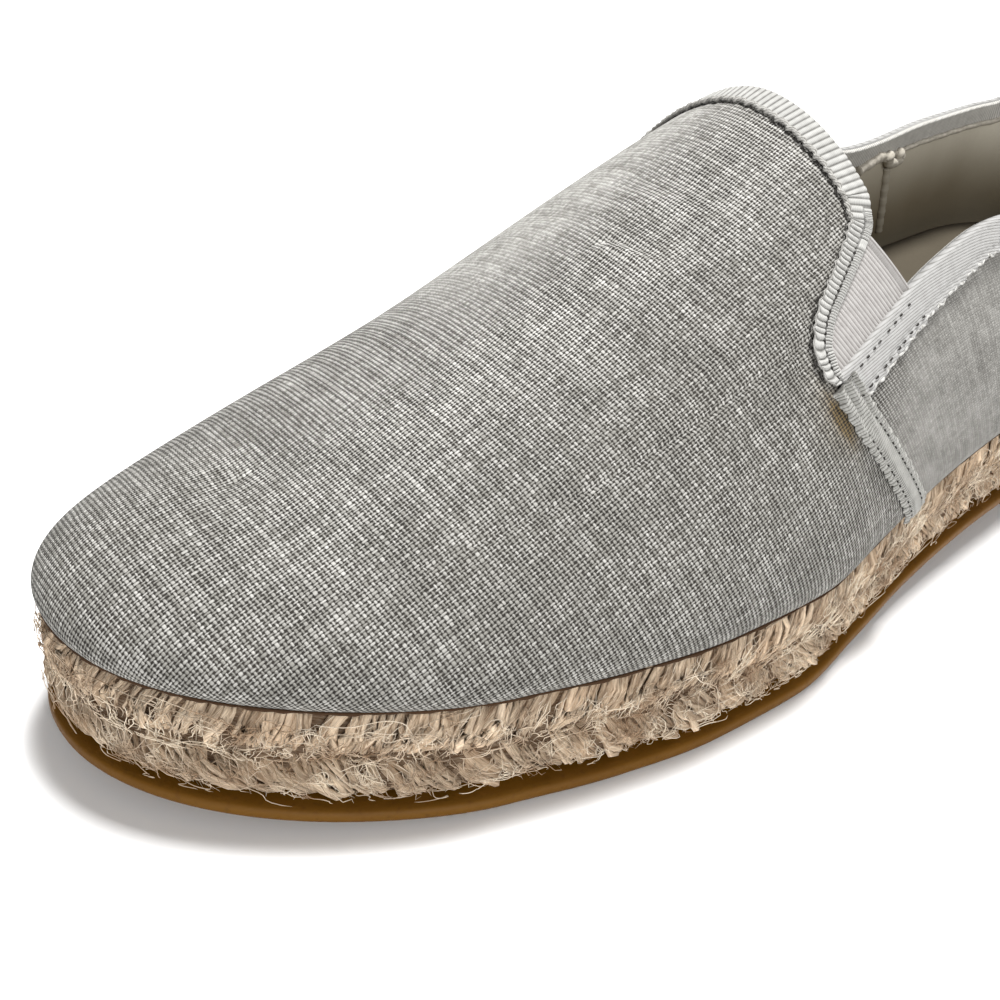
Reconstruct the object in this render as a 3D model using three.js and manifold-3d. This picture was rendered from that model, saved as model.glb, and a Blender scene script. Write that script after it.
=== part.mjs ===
// A slip-on espadrille for the left foot: plaited jute platform, thin gum-rubber sole, canvas upper.
// Millimetres. d runs from the tip of the toe to the back of the heel, which is -Y to +Y in the frame;
// +X is the outer (lateral) side of the left foot and +Z is up.
import * as THREE from "three";
import { mergeVertices } from "three/addons/utils/BufferGeometryUtils.js";
import Module from "manifold-3d";

const wasm = await Module();
wasm.setup();

// ---- Driving sizes ----
const LENGTH = 290; // outsole, toe to heel
const GAP = 0.3; // between two pieces that meet
const STATIONS = 44; // meridians down each side of the shoe

const TOE_SPRING = 3.6; // lift of the sole under the tip of the toe
const SPRING_ENDS = 85; // d where the sole comes down to the floor
const HEEL_PITCH = 5; // lift of the outsole's underside over the heel pad
const WAIST_STARTS = 102;
const WAIST_ENDS = 184;

const RUBBER = 2.6; // outsole thickness
const RUBBER_ROUND = 0.6;
const HEEL_PAD_BREAST = 198; // d of the pad's front face
const HEEL_PAD_INSET = 1.2;
const BREAST_LEAN = 4;

const JUTE = 18.8; // height of the plaited platform
const FEATHER_INSET = 1.4; // the upper's foot lies this far inside the outsole's outline

const WALL = 1.6; // canvas and lining together
const BULGE = 1.5; // how far the canvas rolls out above the jute
const BULGE_HEIGHT = 5;
const TAPE_PROUD = 0.7; // the binding tapes stand this far off the canvas, outside
const TAPE_INSIDE = 0.5; // and inside
const STRIP_THICK = 0.9;
const GORE_SUNK = 0.3; // the elastic lies a little below the canvas

const INSOLE = 4;
const INSOLE_ROUND = 1.2;
const TOPLINE_TILT = 0.04; // the outer side of the topline stands higher than the inner

// Half-widths of the outsole either side of the axis.
const OUTLINE = [
  { d: 0, lateral: 34.5, medial: 34.4 },
  { d: 15, lateral: 35.8, medial: 35.8 },
  { d: 30, lateral: 38, medial: 37.6 },
  { d: 50, lateral: 42.8, medial: 41 },
  { d: 70, lateral: 48.2, medial: 43.8 },
  { d: 90, lateral: 51.6, medial: 45.4 },
  { d: 110, lateral: 52.3, medial: 45.2 },
  { d: 130, lateral: 49, medial: 42.2 },
  { d: 150, lateral: 45.2, medial: 37.2 },
  { d: 170, lateral: 42.6, medial: 32.8 },
  { d: 190, lateral: 40.6, medial: 30.8 },
  { d: 210, lateral: 38.8, medial: 30.8 },
  { d: 235, lateral: 36.2, medial: 32.8 },
  { d: 262, lateral: 34.6, medial: 34 },
  { d: 290, lateral: 34.2, medial: 33.6 },
];
const TOE_CAP = { length: 52, power: 2.1 };
const HEEL_CAP = { length: 36, power: 2.3 };
const TIP_SHIFT = -6.5; // the tip leans to the big toe

// The last above the feather line: crest height, ridge's sideways place and the fullness of the section.
const LAST = [
  { d: 32, crest: 17.6, ridge: -5, fullness: 2.12 },
  { d: 50, crest: 25.4, ridge: -4, fullness: 2.06 },
  { d: 80, crest: 38.6, ridge: -2.5, fullness: 1.98 },
  { d: 110, crest: 53.8, ridge: -2, fullness: 1.94 },
  { d: 137, crest: 65, ridge: -1.5, fullness: 1.92 },
  { d: 170, crest: 71, ridge: 0, fullness: 1.96 },
  { d: 200, crest: 75, ridge: 0, fullness: 2.1 },
  { d: 235, crest: 84, ridge: 0, fullness: 2.35 },
  { d: 290, crest: 98, ridge: 0, fullness: 2.6 },
];
// The vamp's rear edge in side view, from above the throat down the front of the elastic, and its tape.
const VAMP_EDGE = [
  { d: 136.5, z: 130, tape: 5.3 },
  { d: 136.5, z: 77.5, tape: 5.3 },
  { d: 134.3, z: 73.2, tape: 4.8 },
  { d: 129.6, z: 69.6, tape: 4.2 },
  { d: 124.6, z: 66, tape: 4 },
  { d: 119.8, z: 62.5, tape: 4 },
  { d: 117.2, z: 59.2, tape: 4 },
  { d: 117.3, z: 55.8, tape: 4 },
];
// The quarters' edge from the foot of the elastic up to the topline and round to the heel.
const QUARTER_EDGE = [
  { d: 117.3, z: 54.9, tape: 6.6 },
  { d: 128, z: 59.3, tape: 6.6 },
  { d: 139.5, z: 63.9, tape: 6.6 },
  { d: 151, z: 67.4, tape: 6.4 },
  { d: 163, z: 70.1, tape: 5.8 },
  { d: 170, z: 70.4, tape: 5.6 },
  { d: 180, z: 67.9, tape: 5.6 },
  { d: 191, z: 64.1, tape: 5.6 },
  { d: 202, z: 62.6, tape: 5.6 },
  { d: 225, z: 63.9, tape: 5.6 },
  { d: 262, z: 64.8, tape: 5.6 },
  { d: 276, z: 69, tape: 5.6 },
  { d: 300, z: 77, tape: 5.6 },
];
// The strip from the foot of the elastic down to the jute: its middle line and width.
const STRIP_LINE = [
  { d: 117.2, z: 54.6, width: 5.6 },
  { d: 121.3, z: 47.8, width: 6.4 },
  { d: 140.5, z: 24.4, width: 6.6 },
  { d: 144, z: 20, width: 6.6 },
];
const TOE_FAN = { reach: 50, start: 32 }; // meridians of the toe run up to a ridge that starts here
const HEEL_FAN = { reach: 62, start: 38 };

// ---- Curves through the tables ----
// A monotone cubic through one column of a table.
function column(rows, key) {
  const x = rows.map((r) => r.d);
  const y = rows.map((r) => r[key]);
  const n = x.length;
  const slope = [];
  for (let i = 0; i < n - 1; i++) slope.push((y[i + 1] - y[i]) / (x[i + 1] - x[i]));
  const tangent = [slope[0]];
  for (let i = 1; i < n - 1; i++) {
    const a = slope[i - 1];
    const b = slope[i];
    tangent.push(a * b <= 0 ? 0 : (2 * a * b) / (a + b));
  }
  tangent.push(slope[n - 2]);
  return (d) => {
    const c = Math.min(Math.max(d, x[0]), x[n - 1]);
    let i = 0;
    while (i < n - 2 && c > x[i + 1]) i++;
    const h = x[i + 1] - x[i];
    const t = (c - x[i]) / h;
    const u = 1 - t;
    const ends = y[i] * (1 + 2 * t) * u * u + y[i + 1] * (3 - 2 * t) * t * t;
    return ends + h * t * u * (tangent[i] * u - tangent[i + 1] * t);
  };
}
const halfWidth = { lateral: column(OUTLINE, "lateral"), medial: column(OUTLINE, "medial") };
const crestHeight = column(LAST, "crest");
const ridgeOffset = column(LAST, "ridge");
const fullness = column(LAST, "fullness");

const smooth = (t) => {
  const c = Math.min(Math.max(t, 0), 1);
  return c * c * (3 - 2 * c);
};
// The rounding of an end: 0 at the very end, 1 from the cap's length on.
function cap(distance, { length, power }) {
  const t = Math.min(Math.max(1 - distance / length, 0), 1);
  return Math.pow(1 - Math.pow(t, power), 1 / power);
}
function underside(d) {
  const toe = TOE_SPRING * Math.pow(Math.max(0, 1 - d / SPRING_ENDS), 2);
  return toe + HEEL_PITCH * smooth((d - WAIST_STARTS) / (WAIST_ENDS - WAIST_STARTS));
}
const juteFoot = (d) => underside(d) + RUBBER + GAP;
const feather = (d) => juteFoot(d) + JUTE + GAP;

// A point of the sole's outline at fraction t from toe to heel, inset all round.
function outlinePoint(side, t, inset) {
  const d = (LENGTH / 2) * (1 - Math.cos(Math.PI * t));
  const place = inset + (d / LENGTH) * (LENGTH - 2 * inset);
  const round = cap(d, TOE_CAP) * cap(LENGTH - d, HEEL_CAP);
  const lean = TIP_SHIFT * Math.pow(Math.max(0, 1 - d / TOE_CAP.length), 2);
  const reach = (halfWidth[side](d) - inset) * round;
  return { x: lean + (side === "lateral" ? reach : -reach), d: place };
}
// Fractions that leave a blunt tip a few millimetres wide, so that no triangle has no area.
const TIP = 0.012;
const fraction = (i, n) => TIP + ((1 - 2 * TIP) * i) / n;

// ---- Meshes from rings ----
// Each ring is a closed loop of points: down the lateral side and back up the medial side.
function ring(n, place) {
  const points = [];
  for (let i = 0; i <= n; i++) points.push(place("lateral", fraction(i, n)));
  for (let i = n; i >= 0; i--) points.push(place("medial", fraction(i, n)));
  return points;
}
// Rings from the bottom up, closed below and above by strips straight across from side to side.
function stack(rings) {
  const count = rings[0].length;
  const vertices = rings.flat().flatMap((p) => [p.x, p.y, p.z]);
  const faces = [];
  for (let k = 0; k < rings.length - 1; k++) {
    for (let i = 0; i < count; i++) {
      const j = (i + 1) % count;
      const low = k * count;
      const high = low + count;
      faces.push(low + i, low + j, high + j, low + i, high + j, high + i);
    }
  }
  const top = (rings.length - 1) * count;
  for (let i = 0; i < count / 2 - 1; i++) {
    const a = i;
    const b = i + 1;
    const c = count - 1 - i;
    const e = count - 2 - i;
    faces.push(a, c, e, a, e, b);
    faces.push(top + a, top + b, top + e, top + a, top + e, top + c);
  }
  return solid(vertices, faces);
}
function solid(vertices, faces) {
  const geometry = new THREE.BufferGeometry();
  geometry.setAttribute("position", new THREE.Float32BufferAttribute(vertices, 3));
  geometry.setIndex(faces);
  const merged = mergeVertices(geometry, 1e-3);
  const whole = [];
  const index = merged.index.array;
  for (let i = 0; i < index.length; i += 3) {
    const [a, b, c] = [index[i], index[i + 1], index[i + 2]];
    if (a !== b && b !== c && c !== a) whole.push(a, b, c);
  }
  return new wasm.Manifold(
    new wasm.Mesh({
      numProp: 3,
      vertProperties: new Float32Array(merged.attributes.position.array),
      triVerts: new Uint32Array(whole),
    }),
  );
}
const toY = (d) => d - LENGTH / 2;

// ---- Sole ----
// A ring of the sole at an inset, with its height as a function of d.
const soleRing = (inset, height) =>
  ring(STATIONS, (side, t) => {
    const p = outlinePoint(side, t, inset);
    return { x: p.x, y: toY(p.d), z: height(p.d) };
  });

const outsole = stack([
  soleRing(RUBBER_ROUND, underside),
  soleRing(0, (d) => underside(d) + RUBBER_ROUND),
  soleRing(0, (d) => underside(d) + RUBBER - RUBBER_ROUND),
  soleRing(RUBBER_ROUND, (d) => underside(d) + RUBBER),
]);

// The plait's outside: two rows of strands with a groove between them.
const PLAIT = [
  { height: 0, inset: 2 },
  { height: 0.1, inset: 1.2 },
  { height: 0.24, inset: 0.9 },
  { height: 0.37, inset: 1.5 },
  { height: 0.42, inset: 2.3 },
  { height: 0.48, inset: 1.4 },
  { height: 0.68, inset: 0.8 },
  { height: 0.9, inset: 1.2 },
  { height: 1, inset: 2.4 },
];
const juteMidsole = stack(
  PLAIT.map((row) => soleRing(row.inset, (d) => juteFoot(d) + row.height * JUTE)),
);

// ---- Upper ----
// A point of the last: side and fraction along the outline, height angle from the feather line (0) to the
// ridge (a quarter turn), shrunk by an offset.
function lastPoint(side, t, angle, offset) {
  const foot = outlinePoint(side, t, FEATHER_INSET + offset);
  const ahead = outlinePoint(side, Math.min(t + 0.004, 1), FEATHER_INSET + offset);
  const behind = outlinePoint(side, Math.max(t - 0.004, 0), FEATHER_INSET + offset);
  const run = Math.hypot(ahead.x - behind.x, ahead.d - behind.d);
  const turn = side === "lateral" ? 1 : -1;
  const out = {
    x: (turn * (ahead.d - behind.d)) / run,
    d: (-turn * (ahead.x - behind.x)) / run,
  };
  const ridgeD = fan(foot.d, offset);
  const power = 2 / fullness(ridgeD);
  const along = Math.pow(Math.cos(angle), power);
  const up = Math.pow(Math.sin(angle), power);
  const low = feather(foot.d);
  const high = feather(ridgeD) + crestHeight(ridgeD) - offset;
  const z = low + (high - low) * up;
  const rise = (z - low) / BULGE_HEIGHT;
  const roll = BULGE * rise * Math.exp(1 - rise) * along;
  const x = ridgeOffset(ridgeD) + (foot.x - ridgeOffset(ridgeD)) * along;
  const d = ridgeD + (foot.d - ridgeD) * along;
  return { x: x + out.x * roll, y: toY(d + out.d * roll), z };
}
// Where along the ridge the meridian from d runs up to.
function fan(d, offset) {
  const toe = TOE_FAN.start + offset;
  const heel = HEEL_FAN.start + offset;
  const back = LENGTH - d;
  if (d < TOE_FAN.reach) {
    const bend = TOE_FAN.reach / (TOE_FAN.reach - toe);
    return toe + (TOE_FAN.reach - toe) * Math.pow(d / TOE_FAN.reach, bend);
  }
  if (back < HEEL_FAN.reach) {
    const bend = HEEL_FAN.reach / (HEEL_FAN.reach - heel);
    return LENGTH - heel - (HEEL_FAN.reach - heel) * Math.pow(back / HEEL_FAN.reach, bend);
  }
  return d;
}
const ANGLES = [0, 4, 10, 18, 27, 37, 48, 60, 71, 81, 87];
// The whole last as a solid; a skirt below it lets one cut through another.
function lastForm(offset, skirt) {
  const rings = ANGLES.map((degrees) =>
    ring(STATIONS, (side, t) => lastPoint(side, t, (degrees * Math.PI) / 180, offset)),
  );
  if (skirt > 0) rings.unshift(rings[0].map((p) => ({ x: p.x, y: p.y, z: p.z - skirt })));
  return stack(rings);
}
const SKIRT = 6; // lets the inner form cut right through the open underside
const shellBetween = (outer, inner) => lastForm(outer, 0).subtract(lastForm(inner, SKIRT));

// ---- Cuts in side view ----
// A line of the side view moved sideways; a positive distance is to the left of its direction.
function moved(line, distance) {
  return line.map((p, i) => {
    const before = line[Math.max(i - 1, 0)];
    const after = line[Math.min(i + 1, line.length - 1)];
    const run = Math.hypot(after.d - before.d, after.z - before.z);
    const step = distance(p);
    return {
      d: p.d - (step * (after.z - before.z)) / run,
      z: p.z + (step * (after.d - before.d)) / run,
    };
  });
}
// A prism across the shoe whose section is a closed line of the side view.
const REACH = 90; // wider than the shoe
const ACROSS = { both: [-REACH, REACH], lateral: [0, REACH], medial: [-REACH, 0] };
function curtain(line, side = "both") {
  const shape = new THREE.Shape(line.map((p) => new THREE.Vector2(toY(p.d), p.z)));
  const [start, end] = ACROSS[side];
  const made = new THREE.ExtrudeGeometry(shape, { depth: end - start, bevelEnabled: false });
  const at = made.getAttribute("position");
  const vertices = [];
  for (let i = 0; i < at.count; i++) {
    const x = at.getZ(i) + start;
    vertices.push(x, at.getX(i), at.getY(i) + TOPLINE_TILT * x);
  }
  return solid(vertices, [...Array(at.count).keys()]);
}
// The region that an edge's tape covers, widened on the cloth's side and on the open side.
const band = (edge, cloth, open) =>
  curtain([
    ...moved(edge, () => open),
    ...moved(edge, (p) => -p.tape - cloth).reverse(),
  ]);
const vampBand = (extra) => band(VAMP_EDGE, extra, 0);
const quarterBand = (extra) => band(QUARTER_EDGE, extra, 0);
const stripRegion = (extra, side) =>
  curtain(
    [
      ...moved(STRIP_LINE, (p) => p.width / 2 + extra),
      ...moved(STRIP_LINE, (p) => -p.width / 2 - extra).reverse(),
    ],
    side,
  );
const SKY = 140; // above everything
const opening = curtain([
  ...VAMP_EDGE,
  ...QUARTER_EDGE,
  { ...QUARTER_EDGE.at(-1), z: SKY },
  { ...VAMP_EDGE[0], z: SKY },
]);

// The largest body, without the slivers that a cut leaves behind.
const whole = (body) => body.decompose().reduce((a, b) => (a.volume() > b.volume() ? a : b));

const upper = whole(
  shellBetween(0, WALL).subtract(opening.add(vampBand(GAP)).add(quarterBand(GAP))),
);
const tapes = shellBetween(-TAPE_PROUD, WALL + TAPE_INSIDE).subtract(stripRegion(GAP));
const quarterBinding = whole(tapes.subtract(opening).intersect(quarterBand(0)));
const vampBinding = whole(
  tapes.subtract(opening.add(quarterBand(GAP))).intersect(vampBand(0)),
);

const elastic = shellBetween(GORE_SUNK, WALL)
  .subtract(band(VAMP_EDGE, 0, GAP))
  .subtract(band(QUARTER_EDGE, 0, GAP));
const wedge = [...VAMP_EDGE.slice(2), ...QUARTER_EDGE.slice(1, 3)];
const gore = (side) => whole(elastic.intersect(curtain(wedge, side)));

const stripShell = shellBetween(-GAP - STRIP_THICK, -GAP);
const strip = (side) => whole(stripShell.intersect(stripRegion(0, side)));

// ---- Insole and heel pad ----
const sockInset = FEATHER_INSET + WALL + GAP;
const insole = stack([
  soleRing(sockInset, feather),
  soleRing(sockInset, (d) => feather(d) + INSOLE - INSOLE_ROUND),
  soleRing(sockInset + INSOLE_ROUND, (d) => feather(d) + INSOLE),
]);
const padBlank = stack([
  soleRing(HEEL_PAD_INSET + RUBBER_ROUND, () => 0),
  soleRing(HEEL_PAD_INSET, () => RUBBER_ROUND),
  soleRing(HEEL_PAD_INSET, () => HEEL_PITCH - GAP),
]);
// The pad is the rear of that blank, behind a leaning breast.
const AHEAD = -20; // clear of the toe, and above and below the pad
const breast = curtain([
  { d: HEEL_PAD_BREAST + BREAST_LEAN, z: AHEAD },
  { d: HEEL_PAD_BREAST - BREAST_LEAN, z: -AHEAD },
  { d: AHEAD, z: -AHEAD },
  { d: AHEAD, z: AHEAD },
]);
const heelPad = whole(padBlank.subtract(breast));

// ---- The assembly ----
function mesh(name, body, look) {
  const made = body.getMesh();
  const geometry = new THREE.BufferGeometry();
  geometry.setAttribute("position", new THREE.Float32BufferAttribute(made.vertProperties, 3));
  geometry.setIndex(Array.from(made.triVerts));
  geometry.computeVertexNormals();
  const piece = new THREE.Mesh(geometry, new THREE.MeshStandardMaterial(look));
  piece.name = name;
  return piece;
}
const CANVAS = { color: 0x9f9c97, roughness: 0.9, metalness: 0 };
const PLAITED_JUTE = { color: 0xad9479, roughness: 0.95, metalness: 0 };
const RIBBED_TAPE = { color: 0xb8b7b2, roughness: 0.8, metalness: 0 };
const TWILL_TAPE = { color: 0xd0cecb, roughness: 0.8, metalness: 0 };
const ELASTIC = { color: 0xc3c3bf, roughness: 0.85, metalness: 0 };
const SOCK = { color: 0x97908a, roughness: 0.9, metalness: 0 };
const GUM = { color: 0x8a5a22, roughness: 0.5, metalness: 0 };

const group = new THREE.Group();
group.add(mesh("outsole", outsole, GUM));
group.add(mesh("heel_pad", heelPad, GUM));
group.add(mesh("jute_midsole", juteMidsole, PLAITED_JUTE));
group.add(mesh("insole", insole, SOCK));
group.add(mesh("upper", upper, CANVAS));
group.add(mesh("vamp_binding", vampBinding, RIBBED_TAPE));
group.add(mesh("quarter_binding", quarterBinding, TWILL_TAPE));
for (const [name, side] of [["left", "lateral"], ["right", "medial"]]) {
  group.add(mesh(`gore_${name}`, gore(side), ELASTIC));
  group.add(mesh(`strip_${name}`, strip(side), RIBBED_TAPE));
}

const box = new THREE.Box3().setFromObject(group);
group.position.x = -(box.min.x + box.max.x) / 2;
group.position.y = -(box.min.y + box.max.y) / 2;
group.position.z = -box.min.z;

export default group;
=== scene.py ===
# %% [markdown]
# A slip-on espadrille of canvas, tape and plaited jute
#
# The shoe is made of soft sheets over one hidden form, the shoemaker's last. So the lesson works out
# the last once, as a function of two numbers, and lays every panel, tape, strand and stitch on it.

import bmesh
import bpy
import numpy as np
from mathutils import Matrix, Vector


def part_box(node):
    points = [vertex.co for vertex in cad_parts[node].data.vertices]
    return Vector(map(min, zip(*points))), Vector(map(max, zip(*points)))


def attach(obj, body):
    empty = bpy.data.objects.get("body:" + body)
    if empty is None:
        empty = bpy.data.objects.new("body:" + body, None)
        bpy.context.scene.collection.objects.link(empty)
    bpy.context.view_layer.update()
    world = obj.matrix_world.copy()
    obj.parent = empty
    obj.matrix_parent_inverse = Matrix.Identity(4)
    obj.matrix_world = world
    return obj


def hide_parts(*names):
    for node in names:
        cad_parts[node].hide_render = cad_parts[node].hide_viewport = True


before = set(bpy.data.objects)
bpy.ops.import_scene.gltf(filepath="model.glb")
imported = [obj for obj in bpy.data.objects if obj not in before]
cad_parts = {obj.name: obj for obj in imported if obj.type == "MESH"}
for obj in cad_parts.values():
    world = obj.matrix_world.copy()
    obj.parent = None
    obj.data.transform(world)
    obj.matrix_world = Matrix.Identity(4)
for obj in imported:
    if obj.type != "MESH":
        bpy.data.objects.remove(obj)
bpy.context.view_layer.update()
print("nodes", sorted(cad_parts))

# %% [markdown]
# The sizes. Every table has a row per section of the shoe and a named column for each measure, in
# millimetres. d runs from the tip of the toe to the back of the heel.

# %% Driving sizes
MM = 0.001
LENGTH = 290.0
GAP = 0.3
TOE_SPRING, SPRING_ENDS = 3.6, 85.0
HEEL_PITCH, WAIST_STARTS, WAIST_ENDS = 5.0, 102.0, 184.0
RUBBER, JUTE, INSOLE = 2.6, 18.8, 4.0
FEATHER_INSET = 1.4
WALL = 1.6
BULGE, BULGE_HEIGHT = 1.5, 5.0
TOPLINE_TILT = 0.04
TIP_SHIFT = -6.5
TOE_CAP, HEEL_CAP = (52.0, 2.1), (36.0, 2.3)
TOE_FAN, HEEL_FAN = (50.0, 32.0), (62.0, 38.0)
SIDES = ((1, "left"), (-1, "right"))


def table(columns, rows):
    """Named columns from a list of rows."""
    return dict(zip(columns.split(), np.array(rows, float).T))


OUTLINE = table(
    "d lateral medial",
    [
        (0, 34.5, 34.4), (15, 35.8, 35.8), (30, 38, 37.6), (50, 42.8, 41), (70, 48.2, 43.8),
        (90, 51.6, 45.4), (110, 52.3, 45.2), (130, 49, 42.2), (150, 45.2, 37.2),
        (170, 42.6, 32.8), (190, 40.6, 30.8), (210, 38.8, 30.8), (235, 36.2, 32.8),
        (262, 34.6, 34), (290, 34.2, 33.6),
    ],
)
LAST = table(
    "d crest ridge fullness",
    [
        (32, 17.6, -5, 2.12), (50, 25.4, -4, 2.06), (80, 38.6, -2.5, 1.98),
        (110, 53.8, -2, 1.94), (137, 65, -1.5, 1.92), (170, 71, 0, 1.96), (200, 75, 0, 2.1),
        (235, 84, 0, 2.35), (290, 98, 0, 2.6),
    ],
)
VAMP_EDGE = table(
    "d z tape",
    [
        (136.5, 130, 5.3), (136.5, 77.5, 5.3), (134.3, 73.2, 4.8), (129.6, 69.6, 4.2),
        (124.6, 66, 4), (119.8, 62.5, 4), (117.2, 59.2, 4), (117.3, 55.8, 4),
    ],
)
QUARTER_EDGE = table(
    "d z tape",
    [
        (117.3, 54.9, 6.6), (128, 59.3, 6.6), (139.5, 63.9, 6.6), (151, 67.4, 6.4),
        (163, 70.1, 5.8), (170, 70.4, 5.6), (180, 67.9, 5.6), (191, 64.1, 5.6), (202, 62.6, 5.6),
        (225, 63.9, 5.6),
        (262, 64.8, 5.6), (276, 69, 5.6), (300, 77, 5.6),
    ],
)
STRIP_LINE = table(
    "d z width", [(117.2, 54.6, 5.6), (121.3, 47.8, 6.4), (140.5, 24.4, 6.6), (144, 20, 6.6)]
)
PLAIT = table(
    "height inset",
    [
        (0, 2), (0.1, 1.2), (0.24, 0.9), (0.37, 1.5), (0.42, 2.3), (0.48, 1.4), (0.68, 0.8),
        (0.9, 1.2), (1, 2.4),
    ],
)
RNG = np.random.default_rng(17)


# %% Curves through the tables
def column(rows, name, along="d"):
    """A monotone cubic through one column: slopes are harmonic means, so it never overshoots."""
    x, y = rows[along], rows[name]
    slope = np.diff(y) / np.diff(x)
    a, b = slope[:-1], slope[1:]
    with np.errstate(divide="ignore", invalid="ignore"):
        inner = np.where(a * b <= 0, 0.0, 2 * a * b / (a + b))
    tangent = np.concatenate([slope[:1], inner, slope[-1:]])

    def curve(q):
        c = np.clip(q, x[0], x[-1])
        i = np.clip(np.searchsorted(x, c, "right") - 1, 0, len(x) - 2)
        h = x[i + 1] - x[i]
        t = (c - x[i]) / h
        u = 1 - t
        ends = y[i] * (1 + 2 * t) * u * u + y[i + 1] * (3 - 2 * t) * t * t
        return ends + h * t * u * (tangent[i] * u - tangent[i + 1] * t)

    return curve


lateral_width, medial_width = column(OUTLINE, "lateral"), column(OUTLINE, "medial")
crest_height, ridge_place = column(LAST, "crest"), column(LAST, "ridge")
fullness_at = column(LAST, "fullness")


def smooth(t):
    """0 below 0, 1 above 1, and an S curve between them."""
    c = np.clip(t, 0, 1)
    return c * c * (3 - 2 * c)


def cap(distance, length, power):
    """The rounding of an end: 0 at the very end, 1 from its length on."""
    t = np.clip(1 - distance / length, 0, 1)
    return (1 - t**power) ** (1 / power)


def underside(d):
    toe = TOE_SPRING * np.maximum(0, 1 - d / SPRING_ENDS) ** 2
    return toe + HEEL_PITCH * smooth((d - WAIST_STARTS) / (WAIST_ENDS - WAIST_STARTS))


def jute_foot(d):
    return underside(d) + RUBBER + GAP


def feather(d):
    return jute_foot(d) + JUTE + GAP


# %% [markdown]
# The outline of the sole is walked once round by p: 0 at the tip of the toe, a half at the back of
# the heel on the outer side, and 1 at the toe again. Distances close up towards both ends, so the
# round toe and heel get as many points as the long sides.


# %% The outline and the last
def outline(p, inset):
    """x and d at p, inset all round: x is the half-width there times both ends' rounding."""
    p = np.mod(p, 1.0)
    t = 1 - np.abs(1 - 2 * p)
    side = np.where(p < 0.5, 1.0, -1.0)
    d = LENGTH / 2 * (1 - np.cos(np.pi * t))
    round_off = cap(d, *TOE_CAP) * cap(LENGTH - d, *HEEL_CAP)
    lean = TIP_SHIFT * np.maximum(0, 1 - d / TOE_CAP[0]) ** 2
    half = np.where(side > 0, lateral_width(d), medial_width(d))
    return lean + side * (half - inset) * round_off, inset + d / LENGTH * (LENGTH - 2 * inset)


def outward(p, inset):
    """The outline's outward direction in plan, from the points just before and after."""
    (x0, d0), (x1, d1) = outline(p - 0.002, inset), outline(p + 0.002, inset)
    run = np.hypot(x1 - x0, d1 - d0)
    return (d1 - d0) / run, -(x1 - x0) / run


def fan(d, offset):
    """Where along the ridge a meridian from d runs up to; the toe's and heel's share its ends."""
    toe, heel = TOE_FAN[1] + offset, HEEL_FAN[1] + offset
    reach, back = TOE_FAN[0], HEEL_FAN[0]
    near = np.clip(d / reach, 0, 1) ** (reach / (reach - toe))
    far = np.clip((LENGTH - d) / back, 0, 1) ** (back / (back - heel))
    front = toe + (reach - toe) * near
    rear = LENGTH - heel - (back - heel) * far
    return np.where(d < reach, front, np.where(LENGTH - d < back, rear, d))


def last(p, rise, offset=0.0):
    """The last at p and at an angle above the feather line (0) up to the ridge (a quarter turn).
    In plan a point goes from the foot to the ridge with the angle's cosine, in height with its
    sine, both to a power set by the section's fullness; just above the foot the cloth rolls out."""
    foot_x, foot_d = outline(p, FEATHER_INSET + offset)
    out_x, out_d = outward(p, FEATHER_INSET + offset)
    ridge_d = fan(foot_d, offset)
    power = 2 / fullness_at(ridge_d)
    along = np.clip(np.cos(rise), 0, 1) ** power
    up = np.clip(np.sin(rise), 0, 1) ** power
    low = feather(foot_d)
    high = feather(ridge_d) + crest_height(ridge_d) - offset
    z = low + (high - low) * up
    lift = (z - low) / BULGE_HEIGHT
    roll = BULGE * lift * np.exp(1 - lift) * along
    ridge_x = ridge_place(ridge_d)
    x = ridge_x + (foot_x - ridge_x) * along + out_x * roll
    d = ridge_d + (foot_d - ridge_d) * along + out_d * roll
    return np.stack(np.broadcast_arrays(x, d, z), -1)


def over(t, turn, offset=0.0):
    """The same surface straight over the shoe: turn goes from the outer foot (0) over the ridge
    (a quarter) to the inner foot (a half turn), at fraction t from toe to heel."""
    near = turn <= np.pi / 2
    return last(np.where(near, t / 2, 1 - t / 2), np.where(near, turn, np.pi - turn), offset)


def unit(v):
    """Vectors scaled to length 1."""
    return v / np.maximum(np.linalg.norm(v, axis=-1, keepdims=True), 1e-9)


def normal(surface, a, b, da=0.0015, db=0.008):
    """The outward unit normal, from the cross product of the two central differences."""
    along = surface(a + da, b) - surface(a - da, b)
    across = surface(a, b + db) - surface(a, b - db)
    n = unit(np.cross(along, across))
    return n * surface_sign(surface)


def surface_sign(surface):
    """+1 or -1, so that the normal at the top of the instep points up and on the side outwards."""
    a, b = (0.3, 0.4) if surface is last else (0.5, 1.2)
    v = np.cross(
        surface(a + 0.001, b) - surface(a - 0.001, b), surface(a, b + 0.01) - surface(a, b - 0.01)
    )
    return 1.0 if v[..., 0] > 0 else -1.0


def settle(surface, a, b, target, steps=4):
    """The nearest surface point to each target: Gauss-Newton steps in the two parameters."""
    for _ in range(steps):
        here = surface(a, b)
        ja = (surface(a + 1e-3, b) - surface(a - 1e-3, b)) / 2e-3
        jb = (surface(a, b + 1e-3) - surface(a, b - 1e-3)) / 2e-3
        r = target - here
        aa, bb, ab = (ja * ja).sum(-1), (jb * jb).sum(-1), (ja * jb).sum(-1)
        ra, rb = (ja * r).sum(-1), (jb * r).sum(-1)
        det = aa * bb - ab * ab + 1e-6
        a = a + np.clip((bb * ra - ab * rb) / det, -0.02, 0.02)
        b = b + np.clip((aa * rb - ab * ra) / det, -0.15, 0.15)
    return a, b


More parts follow.
